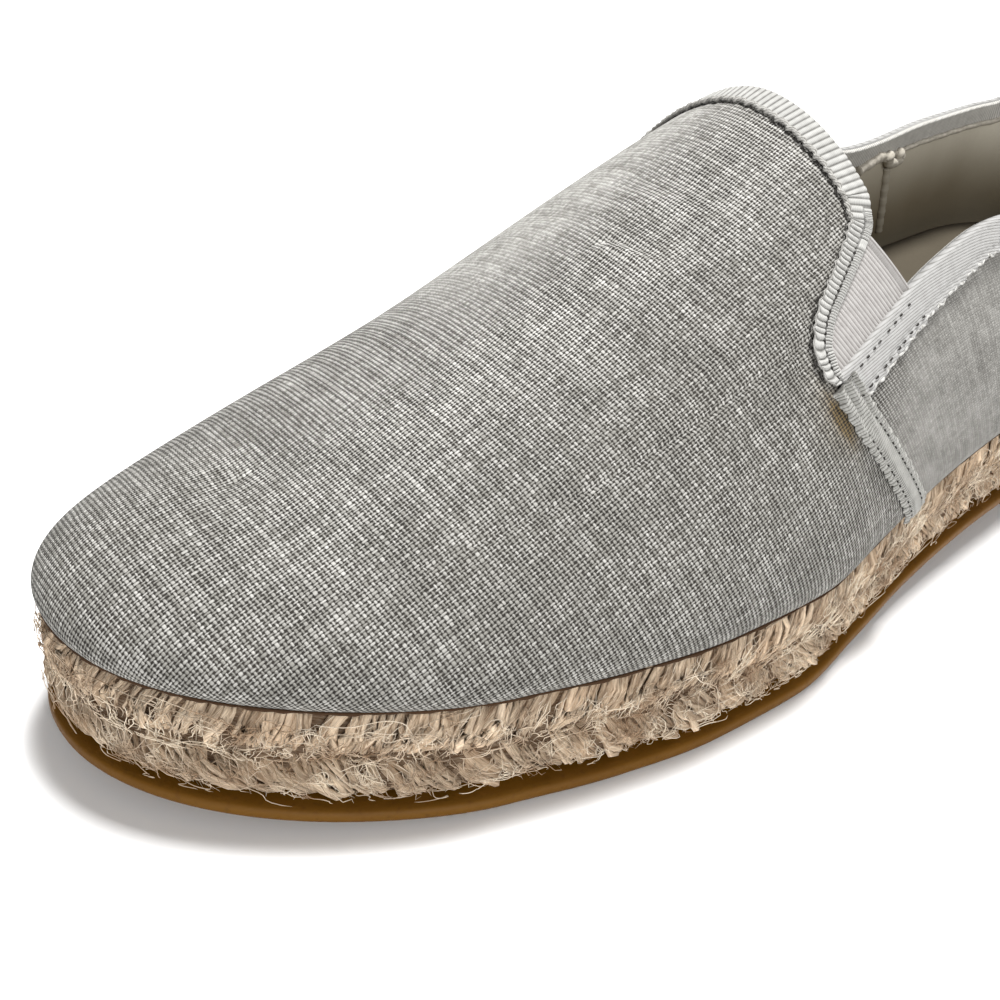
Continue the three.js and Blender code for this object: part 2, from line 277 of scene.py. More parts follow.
def side_spot(side, d, z, steps=12):
    """p and rise of the wall point that a side view shows at (d, z): Newton on those two sizes.
    The topline stands a little higher on the outer side, so z is read off a tilted floor."""
    d, z = np.broadcast_arrays(np.asarray(d, float), np.asarray(z, float))
    t = np.arccos(1 - 2 * np.clip(d, 0, LENGTH) / LENGTH) / np.pi
    p = t / 2 if side > 0 else 1 - t / 2
    rise = np.full(d.shape, 0.75)

    def seen(p, rise):
        q = last(p, rise)
        return q[..., 1], q[..., 2] - TOPLINE_TILT * q[..., 0]

    for _ in range(steps):
        (d0, z0), (d1, z1), (d2, z2) = seen(p, rise), seen(p + 1e-4, rise), seen(p, rise + 1e-4)
        dp, zp, dr, zr = (d1 - d0) / 1e-4, (z1 - z0) / 1e-4, (d2 - d0) / 1e-4, (z2 - z0) / 1e-4
        det = dp * zr - dr * zp
        det = np.where(np.abs(det) < 1e-3, 1e-3, det)
        ed, ez = d - d0, z - z0
        p = p + np.clip((zr * ed - dr * ez) / det, -0.03, 0.03)
        rise = np.clip(rise + np.clip((dp * ez - zp * ed) / det, -0.3, 0.3), 0.0, 1.5)
    return p, rise


print("outer normal", normal(last, 0.25, 0.5).round(2), "instep", normal(over, 0.45, 1.5).round(2))

# %% [markdown]
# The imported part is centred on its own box. The outline worked out here has its own axis, so its
# lowest corner is laid on the outsole's lowest corner, and every new piece moves by that much.

# %% From the last's axes to the frame
STATIONS, BLUNT_END = 44, 0.012
blunt = BLUNT_END + (1 - 2 * BLUNT_END) * np.arange(STATIONS + 1) / STATIONS
ring_x, ring_d = outline(np.concatenate([blunt / 2, 1 - blunt / 2]), 0.0)
corner = np.array([ring_x.min(), ring_d.min() - LENGTH / 2])
SHIFT = corner - np.array(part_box("outsole")[0])[:2] / MM
print("shift in mm", SHIFT.round(3))


def to_frame(q):
    """(x, d, z) in millimetres to the frame in metres."""
    q = np.asarray(q, float)
    moved = q - np.array([SHIFT[0], LENGTH / 2 + SHIFT[1], 0.0])
    return moved * MM


# %% [markdown]
# The camera stands ahead of the toe and off the outer side, and looks down at the instep with a
# slight roll. A camera looks along its own -Z, so its matrix is written straight from three unit
# vectors: to the right, up, and back towards the eye. Angles are in radians.

# %% The camera
EYE = (136.688, -38.017, 147.275)
AZIMUTH, ELEVATION, ROLL = 0.852796, 0.602291, 0.090387
SENSOR, LENS = 36.0, 43.6136
NEAR, FAR = 0.01, 20.0
back = np.array(
    [np.sin(AZIMUTH) * np.cos(ELEVATION), -np.cos(AZIMUTH) * np.cos(ELEVATION), np.sin(ELEVATION)]
)
right = np.array([np.cos(AZIMUTH), np.sin(AZIMUTH), 0.0])
upward = np.cross(back, right)
turned_right = right * np.cos(ROLL) + upward * np.sin(ROLL)
turned_up = upward * np.cos(ROLL) - right * np.sin(ROLL)
camera = bpy.data.objects.new("camera", bpy.data.cameras.new("camera"))
camera.data.sensor_width, camera.data.lens = SENSOR, LENS
camera.data.clip_start, camera.data.clip_end = NEAR, FAR
camera.matrix_world = Matrix.Translation(Vector(to_frame(EYE))) @ Matrix(
    np.stack([turned_right, turned_up, back], 1).tolist()
).to_4x4()
bpy.context.scene.collection.objects.link(camera)
bpy.context.scene.camera = camera
print("camera at", to_frame(EYE).round(4), "lens", round(camera.data.lens, 2))


# %% [markdown]
# A mesh is written straight from arrays. A face is four corner numbers; where a grid closes on
# itself two of them are the same, and the face becomes a triangle.


# %% Writing meshes
def grid_faces(rows, cols, close_rows=False, close_cols=False):
    """Corner numbers of a grid's faces, row by row."""
    i = np.arange(rows if close_rows else rows - 1)[:, None]
    j = np.arange(cols if close_cols else cols - 1)[None, :]
    i2, j2 = (i + 1) % rows, (j + 1) % cols
    return np.stack([i * cols + j, i * cols + j2, i2 * cols + j2, i2 * cols + j], -1).reshape(-1, 4)


def write_mesh(name, points, faces, uv=None, extra=None, weld=0.0, face_out=None, parts=None):
    """points in last millimetres; uv a pair per point; extra float attributes per point; parts a
    material number per face. weld joins points closer than that; face_out turns faces outwards."""
    mesh = bpy.data.meshes.new(name)
    points = to_frame(points.reshape(-1, 3))
    twin = faces == np.roll(faces, -1, axis=1)
    quads = faces[~twin.any(1)]
    thin = faces[twin.sum(1) == 1]
    tris = thin[~(twin[twin.sum(1) == 1])].reshape(-1, 3)
    corners = np.concatenate([quads.ravel(), tris.ravel()])
    starts = np.concatenate(
        [np.arange(len(quads)) * 4, len(quads) * 4 + np.arange(len(tris)) * 3]
    )
    mesh.vertices.add(len(points))
    mesh.vertices.foreach_set("co", points.astype(np.float32).ravel())
    mesh.loops.add(len(corners))
    mesh.loops.foreach_set("vertex_index", corners.astype(np.int32))
    mesh.polygons.add(len(starts))
    mesh.polygons.foreach_set("loop_start", starts.astype(np.int32))
    mesh.polygons.foreach_set("use_smooth", np.ones(len(starts), bool))
    if parts is not None:
        order = np.concatenate([parts[~twin.any(1)], parts[twin.sum(1) == 1]])
        mesh.polygons.foreach_set("material_index", order.astype(np.int32))
    mesh.update(calc_edges=True)
    if uv is not None:
        layer = mesh.uv_layers.new(name="UVMap")
        layer.data.foreach_set("uv", uv.reshape(-1, 2)[corners].astype(np.float32).ravel())
    for key, values in (extra or {}).items():
        mesh.attributes.new(key, "FLOAT", "POINT").data.foreach_set(
            "value", values.astype(np.float32).ravel()
        )
    if weld or face_out:
        work = bmesh.new()
        work.from_mesh(mesh)
        if weld:
            bmesh.ops.remove_doubles(work, verts=work.verts, dist=weld * MM)
        if face_out:
            bmesh.ops.recalc_face_normals(work, faces=work.faces)
        work.to_mesh(mesh)
        work.free()
    return bpy.data.objects.new(name, mesh)


def place(piece, materials, slot, *nodes):
    """Links a piece, gives it its finishes, hangs it under the root and hides the parts it stands
    for.
    """
    bpy.context.scene.collection.objects.link(piece)
    for finish in materials:
        piece.data.materials.append(finish)
    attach(piece, "root")
    if nodes:
        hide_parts(*nodes)
    print(piece.name, len(piece.data.polygons), "faces")
    return piece


def tubes(paths, radius, sides=3):
    """Thin closed tubes along many paths at once: paths is (count, points, 3), radius is a number
    or (count, points). Rings turn about each path's own direction; the ends shrink to a tip."""
    count, n, _ = paths.shape
    run = unit(np.gradient(paths, axis=1))
    one = unit(np.cross(run, np.broadcast_to([0.13, 0.21, 0.97], run.shape)))
    two = np.cross(run, one)
    taper = np.ones(n)
    taper[0] = taper[-1] = 0.25
    size = np.broadcast_to(radius, (count, n)) * taper
    turn = 2 * np.pi * np.arange(sides) / sides
    ring = (
        one[:, :, None] * np.cos(turn)[None, None, :, None]
        + two[:, :, None] * np.sin(turn)[None, None, :, None]
    )
    points = paths[:, :, None] + ring * size[:, :, None, None]
    shell = grid_faces(n, sides, close_cols=True)
    ends = np.arange(sides)[::-1], (n - 1) * sides + np.arange(sides)
    fans = [[r[0], r[k], r[k + 1], r[k + 1]] for r in ends for k in range(1, sides - 1)]
    one_tube = np.concatenate([shell[:, ::-1], np.array(fans)[:, ::-1]])
    faces = (one_tube[None] + (np.arange(count) * n * sides)[:, None, None]).reshape(-1, 4)
    return points.reshape(-1, 3), faces


# %% [markdown]
# Finishes. A socket is wrapped in a small class, so that shader maths reads like arithmetic: each
# operator adds one Math node. Everything else goes through one method that takes the node's kind.


# %% Shader arithmetic
class Value:
    """A number that a shader works out: + - * / and a few functions, each one Math node."""

    def __init__(self, finish, socket):
        self.finish, self.socket = finish, socket

    def _math(self, operation, *others):
        return self.finish.node("ShaderNodeMath", {"operation": operation}, [self, *others])

    def __add__(self, o):
        return self._math("ADD", o)

    __radd__ = __add__

    def __sub__(self, o):
        return self._math("SUBTRACT", o)

    def __rsub__(self, o):
        return self.finish.node("ShaderNodeMath", {"operation": "SUBTRACT"}, [o, self])

    def __mul__(self, o):
        return self._math("MULTIPLY", o)

    __rmul__ = __mul__

    def __truediv__(self, o):
        return self._math("DIVIDE", o)

    def __pow__(self, o):
        return self._math("POWER", o)

    def floor(self):
        return self._math("FLOOR")

    def fract(self):
        return self._math("FRACT")

    def abs(self):
        return self._math("ABSOLUTE")

    def sin(self):
        return self._math("SINE")

    def cos(self):
        return self._math("COSINE")

    def mod(self, o):
        return self._math("FLOORED_MODULO", o)

    def least(self, o):
        return self._math("MINIMUM", o)

    def most(self, o):
        return self._math("MAXIMUM", o)

    def over(self, o):
        """1 where this is greater than o."""
        return self._math("GREATER_THAN", o)

    def clamp(self):
        return self.least(1.0).most(0.0)

    def ease(self, low, high):
        """0 at low, 1 at high, an S curve between."""
        return self.finish.node(
            "ShaderNodeMapRange",
            {"interpolation_type": "SMOOTHSTEP", "clamp": True},
            {"Value": self, "From Min": low, "From Max": high},
            "Result",
        )


class Finish:
    """One material: a Principled shader and the nodes that feed it."""

    def __init__(self, name, **constants):
        self.material = bpy.data.materials.new(name)
        self.material.use_nodes = True
        self.tree = self.material.node_tree
        self.shader = self.tree.nodes["Principled BSDF"]
        for key, value in constants.items():
            self.shader.inputs[key.replace("_", " ")].default_value = value

    def link(self, value, socket):
        if isinstance(value, Value):
            self.tree.links.new(value.socket, socket)
        elif isinstance(value, (tuple, list)) and len(value) == 3 and socket.type == "RGBA":
            socket.default_value = (*value, 1.0)
        else:
            socket.default_value = value

    def node(self, kind, settings=(), inputs=(), output=0):
        """Any node: its settings first, then the values or links of its sockets."""
        made = self.tree.nodes.new(kind)
        for key, value in dict(settings).items():
            setattr(made, key, value)
        pairs = inputs.items() if isinstance(inputs, dict) else enumerate(inputs)
        for key, value in pairs:
            self.link(value, made.inputs[key])
        return Value(self, made.outputs[output])

    def uv(self):
        return self.node("ShaderNodeUVMap", {"uv_map": "UVMap"})

    def place(self):
        return self.node("ShaderNodeTexCoord", output="Object")

    def attribute(self, name):
        return self.node("ShaderNodeAttribute", {"attribute_name": name}, output="Fac")

    def parts(self, vector):
        split = self.tree.nodes.new("ShaderNodeSeparateXYZ")
        self.link(vector, split.inputs[0])
        return [Value(self, o) for o in split.outputs]

    def vector(self, x, y, z=0.0):
        return self.node("ShaderNodeCombineXYZ", inputs=[x, y, z])

    def scaled(self, vector, factors):
        return self.node(
            "ShaderNodeVectorMath", {"operation": "MULTIPLY"}, [vector, factors], "Vector"
        )

    def noise(self, vector, scale, detail=2.0, rough=0.5):
        return self.node(
            "ShaderNodeTexNoise",
            inputs={"Vector": vector, "Scale": scale, "Detail": detail, "Roughness": rough},
            output="Fac",
        )

    def cell(self, x, y):
        """A random number from 0 to 1 for each whole-number cell."""
        return self.node(
            "ShaderNodeTexWhiteNoise", {"noise_dimensions": "2D"}, {"Vector": self.vector(x, y)}
        )

    def mix(self, factor, a, b):
        """A colour from a, where factor is 0, to b, where it is 1."""
        return self.node("ShaderNodeMix", {"data_type": "RGBA"}, {0: factor, 6: a, 7: b}, 2)

    def colour(self, value):
        self.link(value, self.shader.inputs["Base Color"])

    def roughness(self, value):
        self.link(value, self.shader.inputs["Roughness"])

    def bump(self, height, distance, strength=1.0):
        """height in units of distance, metres."""
        out = self.node(
            "ShaderNodeBump",
            inputs={"Strength": strength, "Distance": distance, "Height": height},
            output="Normal",
        )
        self.link(out, self.shader.inputs["Normal"])


def linear(r, g, b):
    """A paint-box colour of 0 to 255 as the linear numbers that shaders use."""
    c = np.array([r, g, b]) / 255
    return tuple(np.where(c <= 0.04045, c / 12.92, ((c + 0.055) / 1.055) ** 2.4).tolist())


# %% [markdown]
# The canvas is an open plain weave of pale linen thread. In each cell of the weave one thread runs
# over the other, by turns, and at the corners between threads a small hole shows; the holes and the
# low sides of the threads are painted near-black, as shade. Threads wander and change thickness a
# little, as linen does. Real threads in the mesh would take millions of faces, so the weave is worked
# out in the shader, with bump for its relief.
#
# Four float attributes of the mesh change the cloth. One greys the toe and the outer side: painted
# shade. One closes the holes on the far top of the vamp, so that part reads paler where the light
# falls: painted light. One yellows it beside a seam: a stain, with painted shade along the strip's
# head. The last, "open", loosens the closer weave.


# %% Canvas
PALE_THREAD = linear(136, 134, 128), linear(212, 210, 205)
CLOSE_THREAD = linear(116, 114, 109), linear(180, 178, 173)


THREAD_U, THREAD_V = 0.575, 0.805  # from one thread to the next, across the cloth and along it
WANDER = 1.1


def canvas_finish(name, close=False):
    """The weave lies in UV, in millimetres: u across the cloth, v along it. A close one has its
    holes nearly shut, apart from where it is "open"."""
    f = Finish(name, Roughness=0.9, Specular_IOR_Level=0.25)
    uv = f.uv()
    u, v, _ = f.parts(uv)
    slow = f.noise(uv, 0.11, 2)
    blotch = f.noise(f.scaled(uv, (0.5, 1, 1)), 0.35, 3)
    wander = f.noise(f.scaled(uv, (0.7, 0.07, 1)), 1.0, 2)
    stray = f.noise(f.scaled(uv, (0.07, 0.7, 1)), 1.0, 2)
    a = u / THREAD_U + (wander - 0.5) * WANDER
    b = v / THREAD_V + (stray - 0.5) * WANDER
    col, row = a.floor(), b.floor()
    x, y = a.fract() - 0.5, b.fract() - 0.5
    warp_on_top = (col + row).mod(2.0)
    thick_warp = 0.56 + (f.cell(col, 3.0) - 0.5) * 0.16 + (f.cell(col, row) - 0.5) * 0.2
    thick_weft = 0.58 + (f.cell(row, 9.0) - 0.5) * 0.16 + (f.cell(row, col) - 0.5) * 0.2
    across_warp = (1 - (x * 2 / thick_warp) ** 2.0).most(0.0) ** 0.5
    across_weft = (1 - (y * 2 / thick_weft) ** 2.0).most(0.0) ** 0.5
    warp = across_warp * (0.4 + 0.6 * (y * np.pi).cos())
    weft = across_weft * (0.4 + 0.6 * (x * np.pi).cos())
    under = across_warp.most(across_weft) * 0.36
    height = (warp_on_top * warp + (1 - warp_on_top) * weft).most(under)
    # Painted light: an attribute closes the holes on the far top of the vamp, so it reads paler where
    # the light falls.
    cover = height.ease(0.1, 0.7).most(f.attribute("painted_top_light") * (0.5 + blotch * 0.4))
    shade = f.cell(col, row + 31.0) * 0.5 + f.cell(col, 5.0) * 0.15 + f.cell(7.0, row) * 0.2
    if close:
        shade = shade * 0.5 + 0.1
        shut = 0.72 - f.attribute("open") * 0.72 + (blotch - 0.5) * 0.5
        cover = cover.most(shut.clamp())
    # Painted shade: an attribute greys the toe and the outer side of the vamp.
    shade = shade - f.attribute("dim") * 0.3 + (slow - 0.5) * 0.5 + (blotch - 0.5) * 0.35
    pale = f.mix(shade.clamp(), *(CLOSE_THREAD if close else PALE_THREAD))
    # A yellow-brown stain beside the strip's head, with painted shade along the strip there.
    pale = f.mix((f.attribute("stain_and_shade") * (0.4 + blotch)).clamp(), pale, linear(112, 96, 68))
    # Painted shade: the holes and the low sides of the threads take a near-black colour.
    hole = f.mix(slow, linear(20, 18, 16), linear(58, 54, 49))
    f.colour(f.mix(cover, hole, pale))
    f.bump(height, 0.0003, 0.6)
    return f.material


LINING_THREAD = 0.45
FOOT_ENDS, UNSHADED_FROM = 0.036, 0.07  # heights in metres between which the painted shade at the lining's foot fades


def lining_finish(name, dark, pale, foot=None):
    """A plain fine cotton, seen inside the shoe, with a faint cloud of wear. foot is a darker,
    browner colour towards the sole: painted shade deep in the shoe."""
    f = Finish(name, Roughness=0.95, Specular_IOR_Level=0.15)
    uv = f.uv()
    u, v, _ = f.parts(uv)
    fine = (u * (2 * np.pi / LINING_THREAD)).sin() * (v * (2 * np.pi / LINING_THREAD)).sin()
    cloud = f.noise(f.place(), 30, 3)
    grain = f.noise(f.place(), 900, 2)
    tone = f.mix((cloud * 1.2 - 0.1 + (grain - 0.5) * 0.3 + fine * 0.08).clamp(), dark, pale)
    if foot:
        # Painted shade: the lining goes darker and browner towards the sole.
        high = f.parts(f.place())[2].ease(FOOT_ENDS, UNSHADED_FROM)
        tone = f.mix(high + (cloud - 0.5) * 0.3, foot, tone)
    f.colour(tone)
    f.bump(fine, 0.0001, 0.4)
    return f.material


canvas = canvas_finish("canvas_weave")
quarter_canvas = canvas_finish("canvas_weave_close", close=True)
lining = lining_finish(
    "cotton_lining", linear(212, 205, 188), linear(240, 235, 220), linear(134, 124, 105)
)

# %% [markdown]
# The vamp. A real one is one flat piece of canvas pulled over the last. Its threads stay square to
# each other, so its UV map is measured off the shape: u is the distance across from the middle,
# and v the distance along, both following the surface.


# %% The vamp's rear edge
def vamp_rear(z):
    """d of the vamp's rear edge at a side-view height: the seam under the strip, then the elastic's
    front, then straight up over the throat."""
    heights = np.concatenate([STRIP_LINE["z"][::-1][:3], VAMP_EDGE["z"][::-1]])
    places = np.concatenate([STRIP_LINE["d"][::-1][:3], VAMP_EDGE["d"][::-1]])
    order = np.argsort(heights)
    return np.interp(z, heights[order], places[order])


VAMP_TURNS = 181
SEARCH_ENDS = 0.62  # t behind every point of the vamp's rear edge


def first_crossing(value, at):
    """Where each row of value first goes above 0, by straight lines between its samples."""
    k = np.argmax(value > 0, axis=1)
    k = np.clip(k, 1, value.shape[1] - 1)
    i = np.arange(len(value))
    before, after = value[i, k - 1], value[i, k]
    w = np.clip(-before / (after - before), 0, 1)
    return at[k - 1] * (1 - w) + at[k] * w


turns = np.linspace(0, np.pi, VAMP_TURNS)
ts = np.linspace(0, SEARCH_ENDS, 900)
probe = over(ts[None, :], turns[:, None])
seen_z = probe[..., 2] - TOPLINE_TILT * probe[..., 0]
edge_t = first_crossing(probe[..., 1] - vamp_rear(seen_z), ts)
print("vamp edge t", edge_t.min().round(3), edge_t.max().round(3))


# %% The cloth laid flat
def links(rows, cols):
    """Pairs of neighbouring grid points, in groups where no point appears twice."""
    index = np.arange(rows * cols).reshape(rows, cols)
    groups = []
    for near, far in (
        (index[:-1], index[1:]),
        (index[:-1, :-1], index[1:, 1:]),
        (index[1:, :-1], index[:-1, 1:]),
    ):
        groups += [(near[k::2].ravel(), far[k::2].ravel()) for k in (0, 1)]
    near, far = index[:, :-1], index[:, 1:]
    return groups + [(near[:, k::2].ravel(), far[:, k::2].ravel()) for k in (0, 1)]


def laid_flat(q, flat, rounds):
    """Moves flat points until neighbours are as far apart as they are on the shoe. The first column
    is the middle of the toe, where the cloth's two halves meet, so its two ends are kept together."""
    rows, cols = q.shape[:2]
    solid, uv = q.reshape(-1, 3), flat.reshape(-1, 2).copy()
    groups = links(rows, cols)
    spans = [np.linalg.norm(solid[a] - solid[b], axis=1) for a, b in groups]
    for _ in range(rounds):
        for (a, b), span in zip(groups, spans):
            gap = uv[b] - uv[a]
            size = np.maximum(np.linalg.norm(gap, axis=1), 1e-6)
            step = 0.5 * ((size - span) / size)[:, None] * gap
            uv[a] += step
            uv[b] -= step
        first = uv.reshape(rows, cols, 2)[:, 0]
        first[:] = (first + first[::-1]) / 2
    return uv.reshape(rows, cols, 2)


def finer(flat):
    """Twice as many grid cells, by halves."""
    for _ in range(2):
        more = np.empty((flat.shape[0] * 2 - 1, *flat.shape[1:]))
        more[::2], more[1::2] = flat, (flat[1:] + flat[:-1]) / 2
        flat = more.swapaxes(0, 1)
    return flat


def bilinear(grid, i, j):
    """grid read at fractional row i and column j."""
    i = np.clip(i, 0, grid.shape[0] - 1.001)
    j = np.clip(j, 0, grid.shape[1] - 1.001)
    i0, j0 = i.astype(int), j.astype(int)
    a, b = (i - i0)[..., None], (j - j0)[..., None]
    top = grid[i0, j0] * (1 - b) + grid[i0, j0 + 1] * b
    return top * (1 - a) + (grid[i0 + 1, j0] * (1 - b) + grid[i0 + 1, j0 + 1] * b) * a


FLAT = 96
CROWD = 0.92  # a power under 1, which draws the grid's columns a little apart at the toe
coarse_turns = np.linspace(0, np.pi, FLAT + 1)
coarse_t = np.interp(coarse_turns, turns, edge_t)[:, None] * np.linspace(0, 1, FLAT + 1) ** CROWD
coarse = over(coarse_t, coarse_turns[:, None])
ridge = over(coarse_t, np.pi / 2 + 0 * coarse_turns[:, None])
foot = over(coarse_t, np.where(coarse_turns[:, None] <= np.pi / 2, 0.0, np.pi))
outwards = unit((foot - ridge)[..., :2])
drop = ridge[..., 2:] - coarse[..., 2:]
flat = (coarse[..., :2] + outwards * drop * 0.75 - [-2, 110])[::8, ::8]
for stride, rounds in ((8, 400), (4, 300), (2, 200), (1, 120)):
    flat = laid_flat(coarse[::stride, ::stride], flat, rounds)
    if stride > 1:
        flat = finer(flat)
print("cloth laid flat", flat[..., 0].min().round(1), flat[..., 0].max().round(1), "across")

# %% [markdown]
# Worn-in cloth is never quite smooth. A few creases are listed, each a soft trough with a low ridge
# beside it, and a slow swell runs over the whole vamp.

# %% Creases
CREASES = table(
    "x0 d0 x1 d1 width depth",
    [
        (-8, 108, 12, 118, 3.0, 0.32), (-2, 101, 20, 109, 3.4, 0.26), (14, 122, 26, 112, 2.6, 0.22),
        (-24, 96, -6, 104, 3.2, 0.25), (20, 84, 36, 96, 4.0, 0.22), (30, 118, 42, 106, 2.8, 0.28),
        (-14, 60, 6, 66, 4.2, 0.16), (26, 58, 38, 70, 3.6, 0.2), (34, 102, 46, 96, 2.6, 0.22),
        (-1, 95, 10, 103, 1.0, 0.42), (30, 108, 37, 113, 1.6, 0.3), (24, 116, 33, 119, 1.8, 0.24),
    ],
)


def creased(q, n):
    """Moves points along their normals: each crease is a trough across its line with raised sides,
    fading at both ends, and the swell is a sum of three slow waves."""
    lift = np.zeros(q.shape[:-1])
    for x0, d0, x1, d1, width, depth in zip(*CREASES.values()):
        run = np.array([x1 - x0, d1 - d0])
        size = np.hypot(*run)
        run = run / size
        rx, rd = q[..., 0] - x0, q[..., 1] - d0
        along = (rx * run[0] + rd * run[1]) / size
        off = (rx * run[1] - rd * run[0] + 1.2 * np.sin(along * 5)) / width
        fade = np.exp(-(((along - 0.5) / 0.42) ** 4))
        lift += depth * fade * (-np.exp(-(off**2)) + 0.45 * np.exp(-((off - 1.7) ** 2)))
    swell = np.sin(q[..., 0] * 0.11 + 1.3) * np.sin(q[..., 1] * 0.09 + 0.4)
    swell += 0.6 * np.sin(q[..., 0] * 0.19 - q[..., 1] * 0.13)
    return q + n * (1.7 * lift + 0.14 * swell)[..., None]


# %% The vamp
def doubled_shell(name, outer, inner, uv, materials, slot, node, weld=0.0, extra=None):
    """A closed sheet from an outer and an inner grid joined round their borders. Faces of the outer
    grid take the first finish and those of the inner the last."""
    rows, cols = outer.shape[:2]
    count = rows * cols
    top = grid_faces(rows, cols)
    i, j = np.arange(rows), np.arange(cols)
    loop = np.concatenate(
        [j[:-1], i[:-1] * cols + cols - 1, (rows - 1) * cols + j[:0:-1], i[:0:-1] * cols]
    )
    nxt = np.roll(loop, -1)
    rim = np.stack([loop, nxt, nxt + count, loop + count], -1)
    faces = np.concatenate([top, top[:, ::-1] + count, rim[:, ::-1]])
    parts = np.repeat([0, len(materials) - 1, 0], [len(top), len(top), len(rim)])
    piece = write_mesh(
        name, np.concatenate([outer.reshape(-1, 3), inner.reshape(-1, 3)]), faces,
        np.concatenate([uv.reshape(-1, 2)] * 2), weld=weld, face_out=True, parts=parts,
        extra={key: np.concatenate([v.ravel()] * 2) for key, v in (extra or {}).items()},
    )
    return place(piece, materials, slot, node)


VAMP_STEPS = 190
UNDER_TAPE = 1.6  # how far the canvas's raw edge stops short under the tape, in millimetres
MM_PER_T, MM_PER_RISE = 455, 60  # what a unit of t and of rise cover there
STAIN_SHADE_D, STAIN_SHADE_Z = 114.4, 53.2
SEAM_D, SEAM_Z = 0.516, -0.857  # the seam's direction downwards from the stain and its painted shade
share = np.linspace(0, 1, VAMP_STEPS) ** CROWD
end_t = edge_t - UNDER_TAPE / MM_PER_T
vamp_t = share[None, :] * end_t[:, None]
vamp_turn = np.broadcast_to(turns[:, None], vamp_t.shape)
vamp_q = over(vamp_t, vamp_turn)
safe_t = np.clip(vamp_t, 0.004, 1)
vamp_n = normal(over, safe_t, np.clip(vamp_turn, 0.01, np.pi - 0.01))
vamp_uv = bilinear(
    flat,
    np.broadcast_to(np.arange(VAMP_TURNS)[:, None] * FLAT / (VAMP_TURNS - 1), vamp_t.shape),
    np.broadcast_to(np.arange(VAMP_STEPS)[None, :] * FLAT / (VAMP_STEPS - 1), vamp_t.shape),
)
# A stain beside the outer strip's head, with a narrow band of painted shade along the strip.
off_d, off_z = vamp_q[..., 1] - STAIN_SHADE_D, vamp_q[..., 2] - STAIN_SHADE_Z
down, away = SEAM_D * off_d + SEAM_Z * off_z, SEAM_Z * off_d - SEAM_D * off_z
stain_and_shade = 1.3 * np.exp(-((away / 1.6) ** 2) - ((down - 3) / 4.6) ** 2)
stain_and_shade += 0.3 * np.exp(-(((away - 2) / 3.4) ** 2) - ((down - 2.5) / 4.5) ** 2)
stain_and_shade = stain_and_shade * (vamp_q[..., 0] > 0)
# Painted shade on the outer side and on the toe, greying the cloth's colour there.
side_painted_shade = smooth((vamp_q[..., 0] - 6) / 24)
toe_painted_shade = 0.7 * (1 - smooth((vamp_q[..., 1] - 18) / 45))
# Painted light: the far top of the vamp, lit from above, has its holes closed and reads paler.
painted_top_light = smooth((2 - vamp_q[..., 0]) / 16) * smooth((vamp_q[..., 1] - 62) / 30)
vamp = doubled_shell(
    "vamp", creased(vamp_q, vamp_n), vamp_q - WALL * vamp_n, vamp_uv, [canvas, lining], "canvas",
    "upper", 0.02, {"stain_and_shade": stain_and_shade, "dim": np.maximum(side_painted_shade, toe_painted_shade), "painted_top_light": painted_top_light},
)

# %% [markdown]
# The quarters are one piece of canvas round the heel, from the seam under one strip to the seam
# under the other. Its columns lean at both seams as the seams do.


# %% The quarters
def quarter_top(z_of_edge, p):
    """rise at which the meridian at p meets the topline, from samples up the wall."""
    rises = np.linspace(0.02, 1.45, 240)
    q = last(p[:, None], rises[None, :])
    z = q[..., 2] - TOPLINE_TILT * q[..., 0]
    return first_crossing(z - z_of_edge(q[..., 1]), rises)


topline_z = column(QUARTER_EDGE, "z")
SEAM_HEAD, SEAM_FOOT = (117.7, 54.8), (141.3, 23.4)  # d and z of the side seam's two ends
front_p, back_p = (side_spot(side, *SEAM_HEAD)[0] for side, _ in SIDES)
foot_front, foot_back = (side_spot(side, *SEAM_FOOT)[0] for side, _ in SIDES)
QUARTER_COLS, QUARTER_ROWS = 420, 58
walk = np.linspace(0, 1, QUARTER_COLS)
top_p = front_p + (back_p - front_p) * walk
foot_p = foot_front + (foot_back - foot_front) * walk
top_rise = quarter_top(topline_z, top_p) - UNDER_TAPE / MM_PER_RISE
rows = np.linspace(0, 1, QUARTER_ROWS)[:, None]
quarter_p = foot_p + (top_p - foot_p) * rows
quarter_rise = top_rise * rows
quarter_q = last(quarter_p, quarter_rise)
quarter_n = normal(last, quarter_p, np.clip(quarter_rise, 0.01, 1.5))
mid = quarter_q[QUARTER_ROWS // 2]
run_along = np.concatenate([[0], np.cumsum(np.linalg.norm(np.diff(mid, axis=0), axis=1))])
climb = np.linalg.norm(np.diff(quarter_q, axis=0), axis=2).cumsum(0)
quarter_uv = np.stack(
    [np.concatenate([np.zeros((1, QUARTER_COLS)), climb]),
     np.broadcast_to(run_along, quarter_rise.shape)], -1
)
sway = 0.35 * np.sin(quarter_q[..., 1] * 0.07) * np.sin(quarter_rise * 3)
ahead = (quarter_q[..., 1] - 117 - 0.42 * (quarter_q[..., 2] - 35)) / 9
from_top = (top_rise - quarter_rise) * 50
loose = np.exp(-(ahead**2)) * np.exp(-(((from_top - 8) / 8) ** 2))
quarters = doubled_shell(
    "quarters", quarter_q + quarter_n * sway[..., None], quarter_q - WALL * quarter_n,
    quarter_uv, [quarter_canvas, lining], "canvas", "upper", extra={"open": loose},
)
print("quarters run", run_along[-1].round(1), "mm")

# %% [markdown]
# Tapes are folded over the raw edges. A closed profile in two sizes, s in from the edge along the
# cloth and n off the cloth, is carried along the edge. Each of its points is brought back onto the
# last, so the tape hugs the curve of the shoe. Its ribs are real: they catch the light.


# %% Folded tapes
def path_length(q):
    """The distance walked along a path of points, from its first to each of them."""
    return np.concatenate([[0], np.cumsum(np.linalg.norm(np.diff(q, axis=0), axis=1))])


